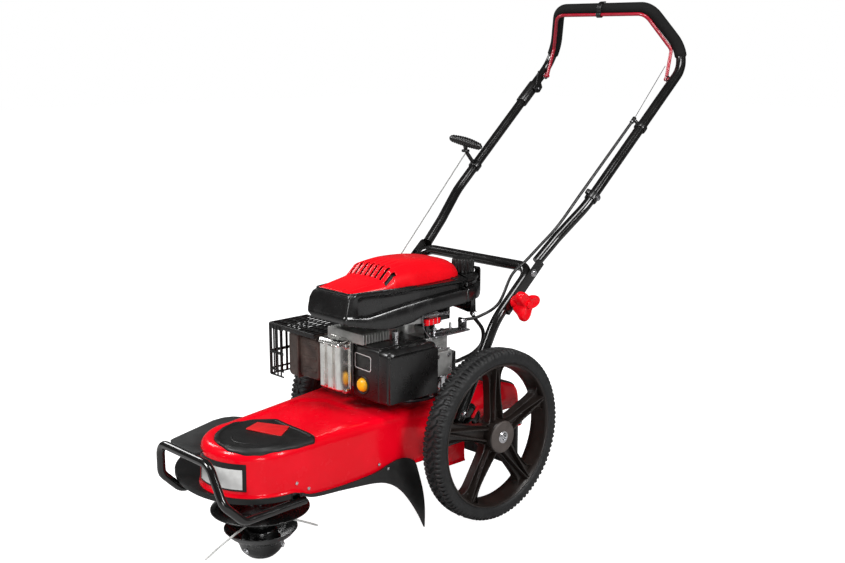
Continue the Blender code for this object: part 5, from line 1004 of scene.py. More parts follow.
def makeStarterCover():
    # the red cover: a flat hood, a step with open louvres, ribs that run back from them, and a smooth dome; a
    # black sheet of painted shade lies under the louvres
    stations = smoothPath(np.array(engine["domeAt"]), 230)
    y, half, height = (stations[:, k:k + 1] for k in range(3))
    pitch, slot = engine["slotPitch"], engine["slotHalf"]
    centres = (np.arange(engine["slots"]) - (engine["slots"] - 1) / 2) * pitch
    edges = (-slot, -slot / 2, 0, slot / 2, slot, 0.0045, -0.0045, 0.0065)
    marks = np.unique(np.concatenate([centres + edge for edge in edges]).round(5))
    inner = marks[np.abs(marks) < 0.064] / 0.064
    outer = np.sin(np.linspace(0, math.pi / 2, 16))
    share = np.concatenate([-1 - outer[::-1], inner, 1 + outer])
    core = np.minimum(0.064, half * 0.965)
    beyond = np.sign(share) * (core + (half - core) * (np.abs(share) - 1))
    x = engine["middle"] + np.where(np.abs(share) <= 1, core * share, beyond)
    grid = np.stack([x, y + 0 * x, engine["top"] + 0.0003 + domeHeight(x, y, half, height)], -1)
    points, quads, _ = openSheet(grid, (0, 0, 1))
    out, back, _ = (points[quads].mean(axis=1) - [engine["middle"], 0, 0]).T
    near = np.abs(out / pitch - np.round(out / pitch)) * pitch
    slotted = (near < slot) & (np.abs(out) < 0.0632) & (back > -0.1905) & (back < -0.1625)
    makePiece("starterCover", [((points, quads[~slotted], []), "redPlastic")], "chassis",
              ["starter_cover"], 50, 0.0022)
    # painted shade: a black sheet just under the cover makes the open louvres look dark inside
    under = grid[60:150:3, 16:-16:2] - [0, 0, 0.0075]
    makePiece("louvreShadeSheet", [(openSheet(under, (0, 0, 1)), "padPlastic")], "chassis", (),
              60, 0.001)


def ribbed(profile, ribs, depth, centre, axis=(0, 0, 1), steps=None):
    # a turned profile with rounded grooves cut in its radius; its third value is their share of the depth
    profile = np.asarray(profile, float)
    axis, side, other = axisFrame(axis)
    steps = steps or ribs * 8
    a = np.arange(steps) * 2 * math.pi / steps
    groove = np.clip(0.5 - 0.9 * np.cos(a * ribs), 0, 1)
    radius = profile[:, :1] - depth * profile[:, 2:3] * groove[None]
    ring = side * np.cos(a)[:, None] + other * np.sin(a)[:, None]
    return solid(np.array(centre, float) + axis * profile[:, None, 1:2] + ring[None] * radius[..., None])


def makeTank():
    # the tank behind a narrow seam, over a smaller sump, with its feet, its neck and a strap at the rear
    rows = cowlRows(cowlPlan(0.0004, 0.08, 0.006, 110), 0.0)
    steps = ((0.02, 0.4122), (0.015, 0.413), (0.012, 0.417), (0.011, 0.438), (0.011, 0.45))
    sump = insetRows(cowlPlan(0.02, 0.078, 0.004, 60), steps)
    feet = (((0.01, -0.0297, 0.345), (0.07, -0.024, 0.401)), ((0.01, -0.0297, 0.391), (0.07, 0.02, 0.401)),
            ((0.01, 0.01, 0.391), (0.07, 0.02, 0.436)))
    neck = [(0.014, 0.48, 0), (0.014, 0.4935, 0), (0.0132, 0.4948, 0)]
    strap = roundedLoop([(0.0775, 0.442), (0.081, 0.446), (0.081, 0.492), (0.0785, 0.4975), (0.068, 0.4975),
                         (0.068, 0.4945), (0.076, 0.4945), (0.0775, 0.49)], 0.0012, 3)
    parts = [([solid(rows[:-3]), solid(sump)], "cowlPlastic"),
             ([boxPart(low, high, 0.003, 0.001) for low, high in feet], "blackPlastic"),
             (ribbed(neck, 4, 0, (*engine["cap"], 0), steps=40), "cowlPlastic"),
             (platePart(strap, 0.083, 0.098, 0.0008, "x"), "blackPlastic"),
             (boltPart((0.0905, 0.081, 0.45), (0, 1, 0), 0.0035, 0.003), "zincSteel")]
    makePiece("fuelTank", parts, "chassis", ["fuel_tank"], 38)
    cap = [(0.015, 0.0012, 0), (0.023, 0.0012, 0), (0.024, 0.0026, 1), (0.024, 0.02, 1),
           (0.0235, 0.025, 0.9), (0.0217, 0.0288, 0.4), (0.0192, 0.03, 0), (0.0135, 0.03, 0),
           (0.0126, 0.0292, 0), (0.004, 0.029, 0)]
    parts = [(ribbed(cap, 20, 0.0022, (*engine["cap"], engine["top"])), "padPlastic")]
    makePiece("fuelCap", parts, "tank_cap", ["fuel_cap"], 40)
    cap = [(0.01, 0.0, 0), (0.0128, 0.0, 0), (0.0135, 0.0012, 1), (0.0135, 0.015, 1), (0.0126, 0.0185, 0.6),
           (0.0105, 0.02, 0), (0.003, 0.02, 0)]
    parts = [(ribbed(cap, 12, 0.0018, (-0.064, -0.072, 0.3983)), "blackPlastic")]
    makePiece("oilDipstick", parts, "oil_cap", ["dipstick"], 40)


def makeCrankcase():
    # the cast block on its round foot, with cooling ribs, bosses, bolts and the oil filler
    left, right, rear, notch = -0.038, 0.118, -0.03, -0.0994
    loop = counterClockwise(roundedLoop([(left, -0.165), (0.048, -0.165), (0.048, notch), (right, notch),
                                         (right, rear), (left, rear)],
                                        [0.01, 0.003, 0.003, 0.006, 0.014, 0.014], 5))
    centre = (engine["x"], engine["y"], 0)
    foot = roundedLoop([(0.014, 0.2424), (0.069, 0.2424), (0.069, 0.248), (0.06, 0.251), (0.058, 0.259),
                        (0.014, 0.259)], 0.0012, 3)
    tower = roundedLoop([(0.013, 0.374), (0.021, 0.374), (0.019, 0.38), (0.0186, 0.4005), (0.013, 0.4005)],
                        0.001, 3)
    parts = [([platePart(loop, 0.258, 0.3, 0.002), platePart(insetLoop(loop, 0.002), 0.299, 0.368, 0.001),
               platePart(loop, 0.366, engine["caseTop"], 0.0012)], "castAluminium"),
             (lathe(foot, centre, steps=72), "darkSteel"),
             (lathe(tower, centre, steps=40), "castAluminium")]
    for a in np.radians([-118, -62, 10, 70, 130, 190]):
        place = (engine["x"] + 0.0655 * math.cos(a), engine["y"] + 0.0645 * math.sin(a), 0.248)
        parts.append((boltPart(place, (0, 0, 1), 0.0046, 0.0042), "zincSteel"))
    rib = insetLoop(loop, 0.0002)
    bosses = ((left + 0.008, rear - 0.008), (right - 0.008, rear - 0.008), (left + 0.008, -0.157),
              (right - 0.008, notch + 0.008))
    cast = [platePart(rib, z - 0.0012, z + 0.0012, 0.0006) for z in (0.31, 0.322, 0.334, 0.346, 0.358)]
    cast += [rodPart((x, y, 0.258), (x, y, 0.3745), 0.0065, 20) for x, y in bosses]
    filler = smoothPath([(-0.03, -0.072, 0.298), (-0.046, -0.072, 0.316), (-0.0635, -0.072, 0.338),
                         (-0.064, -0.072, 0.398)], 30)
    cast.append(tubePart(evenPath(filler, 0.004), 0.0105, 24, (0, 1, 0)))
    parts.append((cast, "castAluminium"))
    makePiece("crankcase", parts, "chassis", ["crankcase"], 35)


def makeCylinder():
    # the barrel and ten fins, cut back beside the air filter and wider above it, with a plug and its boot
    barrel = rodPart((0.01, -0.1655, 0.338), (0.01, -0.2358, 0.338), 0.0325, 48)
    loop = roundedLoop([(-0.022, 0.288), (0.0465, 0.288), (0.0465, 0.381), (0.089, 0.381), (0.089, 0.402),
                        (-0.022, 0.402)], [0.004, 0.004, 0.003, 0.003, 0.004, 0.004], 3)
    fins = [platePart(loop, y - 0.0009, y + 0.0009, 0.0005, "y") for y in np.linspace(-0.2345, -0.169, 10)]
    casting = [barrel, fins, boxPart((-0.018, -0.235, 0.36), (0.04, -0.17, 0.383), 0.003, 0.001),
               boxPart((0.052, -0.232, 0.3815), (0.084, -0.17, 0.385), 0.002, 0.001)]
    plug = rodPart((0.096, -0.158, 0.3755), (0.096, -0.158, 0.3985), 0.0075, 28)
    parts = [(casting, "castAluminium"), (plug, "zincSteel")]
    makePiece("cylinder", parts, "chassis", ["cylinder"], 35)


def makeValveCover():
    # a polished pressing: a bolted flange, a body with rounded corners and a fluted front, and a lipped top
    x0, x1, z0, z1, back, front = -0.012, 0.054, 0.278, 0.388, -0.2363, -0.2703
    flange = roundedLoop([(x0, z0), (x1, z0), (x1, z1), (x0, z1)], 0.01, 5)
    x, z = np.meshgrid(np.linspace(-1, 1, 97), np.linspace(-1, 1, 61))
    wide, tall = (x1 - x0) / 2 - 0.0035, (z1 - z0) / 2 - 0.0035
    corner = np.sqrt(np.maximum(1 - np.clip((np.abs(x) - 0.8) / 0.2, 0, 1) ** 2, 0))
    corner = corner * np.sqrt(np.maximum(1 - np.clip((np.abs(z) - 0.84) / 0.16, 0, 1) ** 2, 0))
    flutes = 0.0075 * np.exp(-((x + 0.24) / 0.17) ** 6) + 0.0075 * np.exp(-((x - 0.56) / 0.15) ** 6)
    flutes *= smoothStep(1.0, 0.86, z) * smoothStep(-1.0, -0.9, z)
    y = back - 0.0045 - (0.0292 - flutes) * corner
    body = np.stack([(x0 + x1) / 2 + wide * x, y, (z0 + z1) / 2 + tall * z], -1)
    lip = roundedLoop([(back - 0.004, z1 - 0.009), (front + 0.002, z1 - 0.012),
                       (front + 0.0006, z1 - 0.0075), (front + 0.006, z1 - 0.0016),
                       (back - 0.004, z1 - 0.0002)], [0.001, 0.0018, 0.003, 0.004, 0.001], 4)
    parts = [([platePart(flange, back - 0.0046, back, 0.001, "y"), openSheet(body, (0, -1, 0)),
               platePart(lip, x0 + 0.0015, x1 - 0.0015, 0.002, "x", 4)], "polishedAluminium")]
    for bx, bz in ((x0 + 0.0065, z0 + 0.006), (x1 - 0.0065, z0 + 0.006), (x1 - 0.0065, z1 - 0.014),
                   (x0 + 0.0065, z1 - 0.014)):
        seat = rodPart((bx, back - 0.003, bz), (bx, back - 0.014, bz), 0.0062, 20)
        bolt = boltPart((bx, back - 0.014, bz), (0, -1, 0), 0.004, 0.0038, 1.2)
        parts += [(seat, "polishedAluminium"), (bolt, "zincSteel")]
    makePiece("valveCover", parts, "chassis", ["valve_cover"], 40)


def makeMuffler():
    # two deep pressings with a folded seam between them, stiffening beads, an outlet and the exhaust pipe
    x0, x1, y0, y1, z0, z1 = -0.124, -0.026, -0.258, -0.176, 0.284, 0.378
    fold = x0 + 0.031
    outlet = roundedLoop([(0.005, 0), (0.008, 0), (0.008, 0.008), (0.005, 0.008)], 0.001, 3)
    steel = [boxPart((fold - 0.002, y0 + 0.004, z0 + 0.003), (x1, y1 - 0.002, z1 - 0.003), 0.012, 0.006, "y",
                     5),
             boxPart((fold - 0.0005, y0 - 0.0012, z0 - 0.0006), (fold + 0.003, y1 + 0.001, z1 + 0.0006),
                     0.0012, 0.0008, "y"),
             boxPart((x0 - 0.0008, -0.2235, z0 - 0.0008), (x1 + 0.0008, -0.22, z1 + 0.0008), 0.01, 0.001,
                     "y", 5)]
    steel += [boxPart((fold + 0.012, y0 + 0.0028, z - 0.004), (x1 - 0.01, y0 + 0.008, z + 0.004), 0.0035,
                      0.001, "y") for z in (0.306, 0.331, 0.356)]
    steel += [rodPart((x1 - 0.006, -0.217, 0.338), (-0.0228, -0.217, 0.338), 0.01, 24),
              lathe(outlet, (x0 + 0.0025, -0.205, 0.33), (-1, 0, 0), 28)]
    parts = [(boxPart((x0, y0, z0), (fold, y1, z1), 0.01, 0.0045, "y", 5), "heatedShell"),
             (steel, "heatedSteel")]
    makePiece("muffler", parts, "chassis", ["muffler"], 35)


def cageBar(low, high, edge=0.0006):
    return boxPart(low, high, 0.0009, edge)


def makeGuard():
    # a pressed cage: frames and bars that leave the slots open on its front, its right side and its top
    x0, x1, y0, y1, z0, z1, t = -0.176, -0.025, -0.268, -0.168, 0.275, 0.388, 0.002
    bars = []
    for low, high in ((z0, z0 + 0.0035), (z0 + 0.0115, z0 + 0.0155), (z0 + 0.048, z0 + 0.054),
                      (z1 - 0.0125, z1)):
        bars.append(cageBar((x0, y0, low), (-0.13, y0 + t, high)))
        bars.append(cageBar((x0, y0, low), (x0 + t, y1, high)))
    for x in (x0, x0 + 0.012, x0 + 0.0235, x0 + 0.035):
        bars.append(cageBar((x, y0, z0), (x + 0.0045, y0 + t, z1)))
    for y in np.linspace(y0, y1 - 0.006, 8):
        bars.append(cageBar((x0, y, z0), (x0 + t, y + 0.006, z1)))
    for x in np.linspace(x0, x1 - 0.006, 12):
        bars.append(cageBar((x, y0, z1 - t), (x + 0.006, y1, z1)))
    for y in (y0, y0 + 0.0235, y0 + 0.047, y0 + 0.0705, y1 - 0.006):
        bars.append(cageBar((x0, y, z1 - t - 0.0002), (x1, y + 0.006, z1 - 0.0002)))
    bars.append(cageBar((-0.131, y0, 0.3782), (x1, y0 + t, z1)))
    bars.append(boxPart((-0.038, -0.172, 0.35), (-0.028, -0.1654, 0.386), 0.001, 0.0005))
    corner = (x0 + 0.001, y0 + 0.001, z1 - 0.002)
    bars.append(rodPart((x0 + 0.001, y0 + 0.001, z0 + 0.002), corner, 0.0022, 14))
    bars.append(rodPart(corner, (x1 - 0.001, y0 + 0.001, z1 - 0.002), 0.0022, 14))
    bars.append(rodPart(corner, (x0 + 0.001, y1 - 0.001, z1 - 0.002), 0.0022, 14))
    makePiece("mufflerGuard", [(bars, "padPlastic")], "chassis", ["muffler_guard"], 40)


def makeAirFilter():
    # the base with the bulb's seat and a bare framed panel, and the rounded cover with a raised flat side
    x0, split, x1, y0, y1, z0, z1 = 0.05, 0.127, 0.16, -0.23, -0.1, 0.27, 0.378
    outline, bulbAt = [(y0, z0), (y1, z0), (y1, z1), (y0, z1)], (0.079, y0, 0.299)
    base = roundedLoop(outline, [0.006, 0.006, 0.006, 0.008], 5)
    seat = roundedLoop([(0.0142, 0.001), (0.0142, 0.0), (0.0158, -0.0008), (0.0185, -0.0022),
                        (0.0197, -0.001), (0.0197, 0.0025), (0.0142, 0.004)], 0.0006, 3)
    ring = roundedLoop([(0.0565, 0.331), (0.104, 0.329), (0.105, 0.36), (0.0565, 0.362)], 0.005, 6)
    steps = ((0, y0), (0, y0 - 0.0005), (0.0013, y0 - 0.0005), (0.0013, y0))
    band = insetRows(counterClockwise(ring), steps, "y")
    rib = boxPart((x0 + 0.004, y0 + 0.004, z1 - 0.002), (split - 0.003, y1 - 0.006, z1 + 0.0018), 0.003,
                  0.001)
    parts = [(platePart(base, x0, split, 0.0022, "x"), "blackPlastic"),
             (lathe(seat * [1, -1], bulbAt, (0, -1, 0), 48), "padPlastic"),
             (solid(band, wrapRows=True), "whiteInk"), (rib, "blackPlastic")]
    makePiece("airFilterBase", parts, "chassis", ["air_filter_base"], 38)
    loop = counterClockwise(roundedLoop(outline, [0.009, 0.008, 0.009, 0.012], 7))
    steps = ((0.0006, split + 0.0004), (0, split + 0.001), (0, x1 - 0.0105), (0.0008, x1 - 0.0088),
             (0.0066, x1 - 0.0036), (0.0078, x1 - 0.0032), (0.0088, x1 - 0.005), (0.012, x1 - 0.005))
    face = roundedLoop([(y0 + 0.001, z0 + 0.0045), (y1 - 0.002, z0 + 0.0045), (y1 - 0.002, z1 - 0.0105),
                        (y0 + 0.001, z1 - 0.0105)], [0.0025, 0.006, 0.006, 0.0025], 5)
    latch = boxPart((0.134, y0 + 0.045, z1 - 0.002), (0.146, y0 + 0.062, z1 + 0.0022), 0.002, 0.0008)
    parts = [solid(insetRows(loop, steps, "x", drawnIn)), latch,
             platePart(face, x1 - 0.006, x1 - 0.0001, 0.001, "x")]
    makePiece("airFilterCover", [(parts, "blackPlastic")], "chassis", ["air_filter_cover"],
              34)
    bulb = smoothPath([(0.0006, 0.0089, 0), (0.005, 0.0086, 0), (0.0086, 0.0076, 0), (0.0116, 0.0054, 0),
                       (0.0132, 0.0026, 0), (0.0138, 0.0, 0), (0.0138, -0.0056, 0)], 24)
    parts = [(ribbed(bulb, 8, 0, bulbAt, (0, -1, 0), 40), "yellowRubber")]
    makePiece("primerBulb", parts, "primer", ["primer_bulb"], 60)


def spring(start, end, radius, wire, turns):
    # a coil of wire: the axis point plus two cross directions times the cosine and sine of the turn
    start, end = np.array(start, float), np.array(end, float)
    along = unit(end - start)
    side = unit(np.cross(along, (0, 0, 1.0)))
    other = np.cross(along, side)
    t = np.linspace(0, 1, turns * 14)[:, None]
    a = t * turns * 2 * math.pi
    path = start + (end - start) * t + radius * (side * np.cos(a) + other * np.sin(a))
    return tubePart(path, wire, 6, along)


def makeCarburettor():
    # the cast body and its float bowl, with screws, a throttle lever, a choke lever and the hose's nipple
    low = -0.0997
    bowl = roundedLoop([(0.0002, 0.272), (0.009, 0.272), (0.0135, 0.276), (0.0138, 0.2985), (0.015, 0.299),
                        (0.015, 0.3015), (0.0002, 0.3015)],
                       [0.0001, 0.004, 0.003, 0.0005, 0.0005, 0.0005, 0.0001], 4)
    steel = [lathe(bowl, (0.1335, low + 0.03, 0), steps=48),
             boltPart((0.1335, low + 0.03, 0.2724), (0, 0, -1), 0.004, 0.0034)]
    for y, z in ((low + 0.012, 0.342), (low + 0.042, 0.342), (low + 0.046, 0.312)):
        steel.append(boltPart((0.144, y, z), (1, 0, 0), 0.0034, 0.003))
    steel += [rodPart((0.131, low + 0.02, 0.35), (0.131, low + 0.02, 0.36), 0.0026, 16),
              boxPart((0.122, low + 0.015, 0.358), (0.146, low + 0.025, 0.3596), 0.003, 0.0005),
              rodPart((0.139, low + 0.046, 0.348), (0.139, low + 0.046, 0.354), 0.0022, 16),
              boxPart((0.136, low + 0.03, 0.353), (0.142, low + 0.05, 0.3544), 0.002, 0.0005)]
    parts = [(boxPart((0.1186, low, 0.3), (0.144, low + 0.054, 0.35), 0.004, 0.0015), "castAluminium"),
             (boxPart((0.119, low, 0.312), (0.1465, low + 0.006, 0.352), 0.003, 0.001), "darkSteel"),
             (boxPart((0.119, low + 0.052, 0.306), (0.146, low + 0.0618, 0.346), 0.003, 0.001),
              "blackPlastic"), (steel, "zincSteel")]
    makePiece("carburettor", parts, "chassis", ["carburettor"], 35)


def makeControls():
    # the bracket over the carburettor, the governor's link and spring, and the cable's adjuster
    top = 0.3783
    loop = roundedLoop([(0.088, -0.078), (0.128, -0.078), (0.128, 0.022), (0.104, 0.022), (0.088, -0.02)],
                       [0.004, 0.004, 0.004, 0.004, 0.01], 4)
    plate = [platePart(loop, 0.3753, top, 0.0006),
             boxPart((0.104, 0.008, 0.376), (0.128, 0.0106, 0.402), 0.003, 0.0005, "y"),
             rodPart((0.114, -0.07, 0.376), (0.114, -0.07, 0.396), 0.003, 20),
             boltPart((0.096, -0.066, top), (0, 0, 1), 0.0048, 0.004),
             boltPart((0.096, -0.03, top), (0, 0, 1), 0.0048, 0.004),
             boltPart((0.114, -0.07, 0.3905), (0, 0, 1), 0.0044, 0.003)]
    bands = [boxPart((0.1156, y, 0.4036), (0.1264, y + 0.0016, 0.4164), 0.003, 0.0004)
             for y in (-0.095, -0.084, -0.072)]
    link = smoothPath([(0.131, -0.0797, 0.36), (0.129, -0.092, 0.376), (0.122, -0.105, 0.398),
                       (0.119, -0.1062, 0.423)], 20)
    parts = [(plate, "zincSteel"),
             (rodPart((0.116, 0.015, 0.397), (0.116, -0.001, 0.397), 0.0042, 24), "blackPlastic"),
             ([rodPart((0.116, 0.0075, 0.397), (0.116, 0.003, 0.397), 0.0062, 6),
               spring((0.119, -0.106, 0.4235), (0.121, -0.034, 0.421), 0.0034, 0.0006, 20)], "zincSteel"),
             (boxPart((0.116, -0.102, 0.404), (0.126, -0.062, 0.416), 0.003, 0.001), "redPlastic"),
             ([bands, rodPart((0.121, -0.108, 0.409), (0.121, -0.056, 0.407), 0.0018, 12),
               tubePart(link, 0.0009, 8, (1, 0.1, 0))], "zincSteel")]
    makePiece("controlBracket", parts, "chassis", ["control_bracket"], 35)
    arm = roundedLoop([(0.106, -0.078), (0.122, -0.078), (0.1215, -0.05), (0.1195, -0.02), (0.1125, -0.02),
                       (0.1085, -0.05)], [0.007, 0.007, 0.02, 0.003, 0.003, 0.02], 5)
    parts = [platePart(arm, 0.3842, 0.3862, 0.0005),
             rodPart((0.116, -0.026, 0.3852), (0.116, -0.026, 0.3978), 0.0025, 16)]
    makePiece("brakeArm", [(parts, "zincSteel")], "brake", ["brake_arm"], 35)


def makeHose():
    # the fuel hose from the tank's foot round the carburettor, with a wire clip near each of its ends
    tankLow = engine["top"] - 0.075
    path = smoothPath([(0.1, 0.05, tankLow - 0.0024), (0.1, 0.06, 0.392), (0.104, 0.082, 0.362),
                       (0.106, 0.078, 0.334), (0.108, 0.05, 0.318), (0.12, 0.005, 0.316),
                       (0.13, -0.02, 0.318), (0.132, -0.0368, 0.32)], 40)
    hose = makePiece("fuelHose", [(tubePart(path, 0.004, 16, (1, 0.02, 0.05)), "blackRubber")], "chassis",
                     ["fuel_hose"], 40)
    clips = [spring(path[first], path[first + 2], 0.0046, 0.0005, 3) for first in (2, -4)]
    makePiece("hoseClips", [(clips, "zincSteel")], "chassis")


makeCowl()
makeStarterCover()
makeTank()
makeCrankcase()
makeCylinder()
makeValveCover()
makeMuffler()
makeGuard()
makeAirFilter()
makeCarburettor()
makeControls()
makeHose()
print("engine made")


# Handle

def mirrored(near):
    # a half path on the left, carried on over its mirror image on the right
    return np.vstack([near, (near * [-1, 1, 1])[::-1]])


def legPoints():
    x = handle["legX"]
    return mirrored(np.array([(x, *handle["foot"]), alongHandle(-handle["straight"], 0, x),
                              alongHandle(handle["crossbarUp"], 0, x)]))


def upperPoints():
    stations = [(handle["start"], handle["legX"] + 0.0027), handle["kink"], handle["spread"], handle["elbow"]]
    near = [alongHandle(up, 0, x) for up, x in stations] + [handle["gripCorner"]]
    bends = [0.2, 0.2, handle["elbowBend"], handle["gripBend"]]
    return roundedPath(mirrored(np.array(near)), bends + bends[::-1], 12)


def makeLowerHandle():
    # the bent lower frame with flattened feet, its pivot bolts, knob bolts and foot bolts
    bends = [0.16, handle["crossbarBend"], handle["crossbarBend"], 0.16]
    path = evenPath(roundedPath(legPoints(), bends, 14), 0.006)
    parts = [(tubePart(path, handle["tube"], 28, handleBack), "blackTube")]
    legX = handle["legX"]
    y, z = handle["pivot"]
    knobY, knobZ = alongHandle(handle["knobUp"])[1:]
    for side in (1, -1):
        out = (side, 0, 0)
        foot = np.array([side * (legX + handle["tube"] - 0.0012), handle["foot"][0] + 0.008,
                         handle["foot"][1] + 0.014])
        parts.append(([rodPart((side * (legX - 0.012), y, z), (side * (webX + 0.0003), y, z), 0.004, 16),
                       boltPart((side * (webX + 0.0002), y, z), out, 0.0066, 0.0048, 1.25),
                       rodPart((side * legX, knobY, knobZ), (side * (webX + 0.02), knobY, knobZ), 0.004, 16),
                       boltPart(foot, out, 0.0062, 0.005, 1.2),
                       boltPart(foot - [side * 0.0196, 0, 0], (-side, 0, 0), 0.0062, 0.004, 1.2)],
                      "zincSteel"))
    makePiece("lowerHandle", parts, "chassis", ["lower_handle"], 40)


def channelPart(side):
    # a pressed channel: the web outside the leg and a flange behind it, rounded at the bend and at both ends
    inner = handle["legX"] + handle["tube"] + handle["gap"]
    outer, half, t = inner + handle["channel"], handle["tube"] + handle["gap"], handle["channel"]
    slot = 0.0055
    corner = roundedPath([(outer, -half), (outer, half + t), (inner - 0.01, half + t)], 0.0036, 6)
    inside = roundedPath([(inner, -half), (inner, half), (inner - 0.01, half)], 0.0012, 6)
    section = np.vstack([corner, inside[::-1]])

    def cutRow(up, least):
        # the section at a place along the leg, without what lies in front of the least value
        return [alongHandle(up, max(back, least), side * x) for x, back in section]

    def trimmed(share):
        return -half + half * (1 - math.sqrt(max(0.0, 1 - share ** 2)))

    turn = np.linspace(0, math.pi / 2, 7)
    low = [cutRow(up, trimmed(np.clip((-0.095 - up) / 0.01, 0, 1)))
           for up in [*(-0.105 + 0.01 * (1 - np.cos(turn))), -0.085]]
    high = [cutRow(up, trimmed(np.clip((up - 0.022) / 0.012, 0, 1)))
            for up in [-0.0735, *(0.034 - 0.012 * (1 - np.sin(turn)))]]
    bridge = [cutRow(up, slot) for up in (-0.0851, -0.0734)]
    return [solid(np.array(rows)) for rows in (low, high, bridge)]


def makeUpperHandle():
    path = evenPath(upperPoints(), 0.006)
    parts = [tubePart(path, handle["tube"], 28, handleBack), channelPart(1), channelPart(-1)]
    makePiece("upperHandle", [(parts, "blackTube")], "handle", ["upper_handle"], 40)


def makeFoam():
    # a foam sleeve over the grip, with softly rolled ends; the grip's own tube runs inside it
    points = upperPoints()
    straightFrom = 1 + 2 * 13 + 6  # the start, the arcs of the first two bends and half of the elbow's
    line = evenPath(points[straightFrom:-straightFrom], 0.004)
    n = len(line)
    roll = np.minimum(np.arange(n), np.arange(n)[::-1]) * 0.004
    outer = handle["foam"] - 0.003 * (1 - np.sqrt(np.clip(roll / 0.004, 0, 1)))
    sleeve = tubePart(line, outer, 32, handleBack)
    piece = makePiece("foamGrip", [(sleeve, "gripFoam")], "handle", ["foam_grip"], 50)


def bailPath():
    y, z = alongHandle(handle["bailUp"])[1:]
    gripY, gripZ = handle["gripCorner"][1:]
    near = np.array([(handle["bailX"], y, z), handle["bailElbow"], (0.13, gripY - 0.013, gripZ - 0.0138)])
    return evenPath(roundedPath(mirrored(near), [0.012, 0.03, 0.03, 0.012], 10), 0.004)


def makeBail():
    # the bent rod with a pin and a washer at each pivot, and the clip that holds it to the grip
    y, z = alongHandle(handle["bailUp"])[1:]
    reach = tubeX(handle["bailUp"]) - handle["tube"] - handle["gap"]
    washer = roundedLoop([(0.0045, 0), (0.0085, 0), (0.0085, 0.0012), (0.0045, 0.0012)], 0.0004, 3)
    parts = [(tubePart(bailPath(), 0.004, 18, (0.05, 0.9, -0.4)), "crimsonPaint")]
    for side in (1, -1):
        parts.append((rodPart((side * 0.174, y, z), (side * reach, y, z), 0.0044, 20), "crimsonPaint"))
        parts.append((lathe(washer, (side * 0.1824, y, z), (side, 0, 0), 32), "zincSteel"))
    makePiece("bailBar", parts, "bail_bar", ["bail"], 45)
    gripY, gripZ = handle["gripCorner"][1:]
    a = np.radians(np.linspace(80, 285, 40))
    turn = np.stack([np.cos(a), np.sin(a)], 1)
    outer, inner = (turn * (handle["foam"] + out) + [gripY, gripZ] for out in (0.0036, 0.0006))
    jaw = platePart(np.vstack([outer, inner[::-1]]), -0.0062, 0.0062, 0.0007, "x")
    ring = roundedLoop([(0.0043, -0.0065), (0.007, -0.0065), (0.007, 0.0065), (0.0043, 0.0065)], 0.0007, 3)
    parts = [jaw, lathe(ring, (0, gripY - 0.013, gripZ - 0.0138), (1, 0, 0), 36)]
    makePiece("bailClip", [(parts, "blackPlastic")], "bail_bar", ["bail_clip"], 40)


def collar(up, below, above, side, thick=0.003):
    # a clamp round an upper tube: a closed band with rounded rims
    start, end = (alongHandle(up + d, 0, side * tubeX(up + d)) for d in (-below, above))
    run = float(np.linalg.norm(end - start))
    inner, outer = handle["tube"] + handle["gap"], handle["tube"] + thick
    loop = roundedLoop([(inner, 0), (outer, 0), (outer, run), (inner, run)], 0.0009, 3)
    return lathe(loop, start, end - start, 48)


def makeSmallParts():
    # the cable's stop and clip on the left tube, the rope's guide and the bail's latch on the right one
    place = alongHandle(handle["stopUp"], 0, tubeX(handle["stopUp"]))
    front = place - handleBack * 0.024 + [-0.008, 0, 0]
    arm = np.array([place - handleBack * 0.012 + [-0.003, 0, 0], (place + front) / 2 - handleBack * 0.006,
                    front])
    parts = [([collar(handle["stopUp"], 0.006, 0.006, 1), tubePart(arm, 0.004, 18, (1, 0.2, 0)),
               rodPart(front - handleUp * 0.01, front + handleUp * 0.006, 0.0045, 24)], "blackPlastic"),
             ([rodPart(front - handleUp * 0.0095, front - handleUp * 0.0065, 0.0052, 6),
               boltPart(place + handleBack * (handle["tube"] + 0.0026), handleBack, 0.0036, 0.0032)],
              "zincSteel")]
    makePiece("cableStop", parts, "handle", ["cable_stop"], 40)
    clip, side = alongHandle(handle["clipUp"], 0, tubeX(handle["clipUp"])), np.array([1.0, 0, 0])
    body = clip + side * (handle["tube"] + 0.001)
    ring = roundedLoop([(0.0036, -0.005), (0.0052, -0.005), (0.0052, 0.005), (0.0036, 0.005)], 0.0005, 3)
    parts = [([collar(handle["clipUp"], 0.0095, 0.0095, 1), rodPart(body, body + side * 0.0045, 0.007, 24)],
              "blackPlastic"), (boltPart(body + side * 0.0045, side, 0.005, 0.002, 1.3), "zincSteel"),
             (lathe(ring, clip - handleBack * 0.0158 + [-0.0035, 0, 0], handleUp, 28), "blackPlastic")]
    makePiece("cableClip", parts, "handle", ["cable_clip"], 40)
    place = alongHandle(handle["guideUp"], 0, -tubeX(handle["guideUp"]))
    front = place - handleBack * 0.044
    eye = front - handleBack * 0.006
    bend = smoothPath([place - handleBack * 0.0125, place - handleBack * 0.026, front + handleBack * 0.002,
                       front - handleBack * 0.001], 16)
    ring = roundedLoop([(0.0036, 0.003), (0.0095, 0.003), (0.0095, -0.003), (0.0036, -0.003)], 0.0014, 4)
    bolt = place + [-(handle["tube"] + 0.0026), 0, 0]
    parts = [([collar(handle["guideUp"], 0.008, 0.008, -1), tubePart(bend, 0.0046, 20, (1, 0.1, 0)),
               lathe(ring, eye, (0, 0, 1), 36)], "blackPlastic"),
             (boltPart(bolt, (-1, 0, 0), 0.0042, 0.0034), "zincSteel")]
    makePiece("ropeGuide", parts, "handle", ["rope_guide"], 40)
    return eye


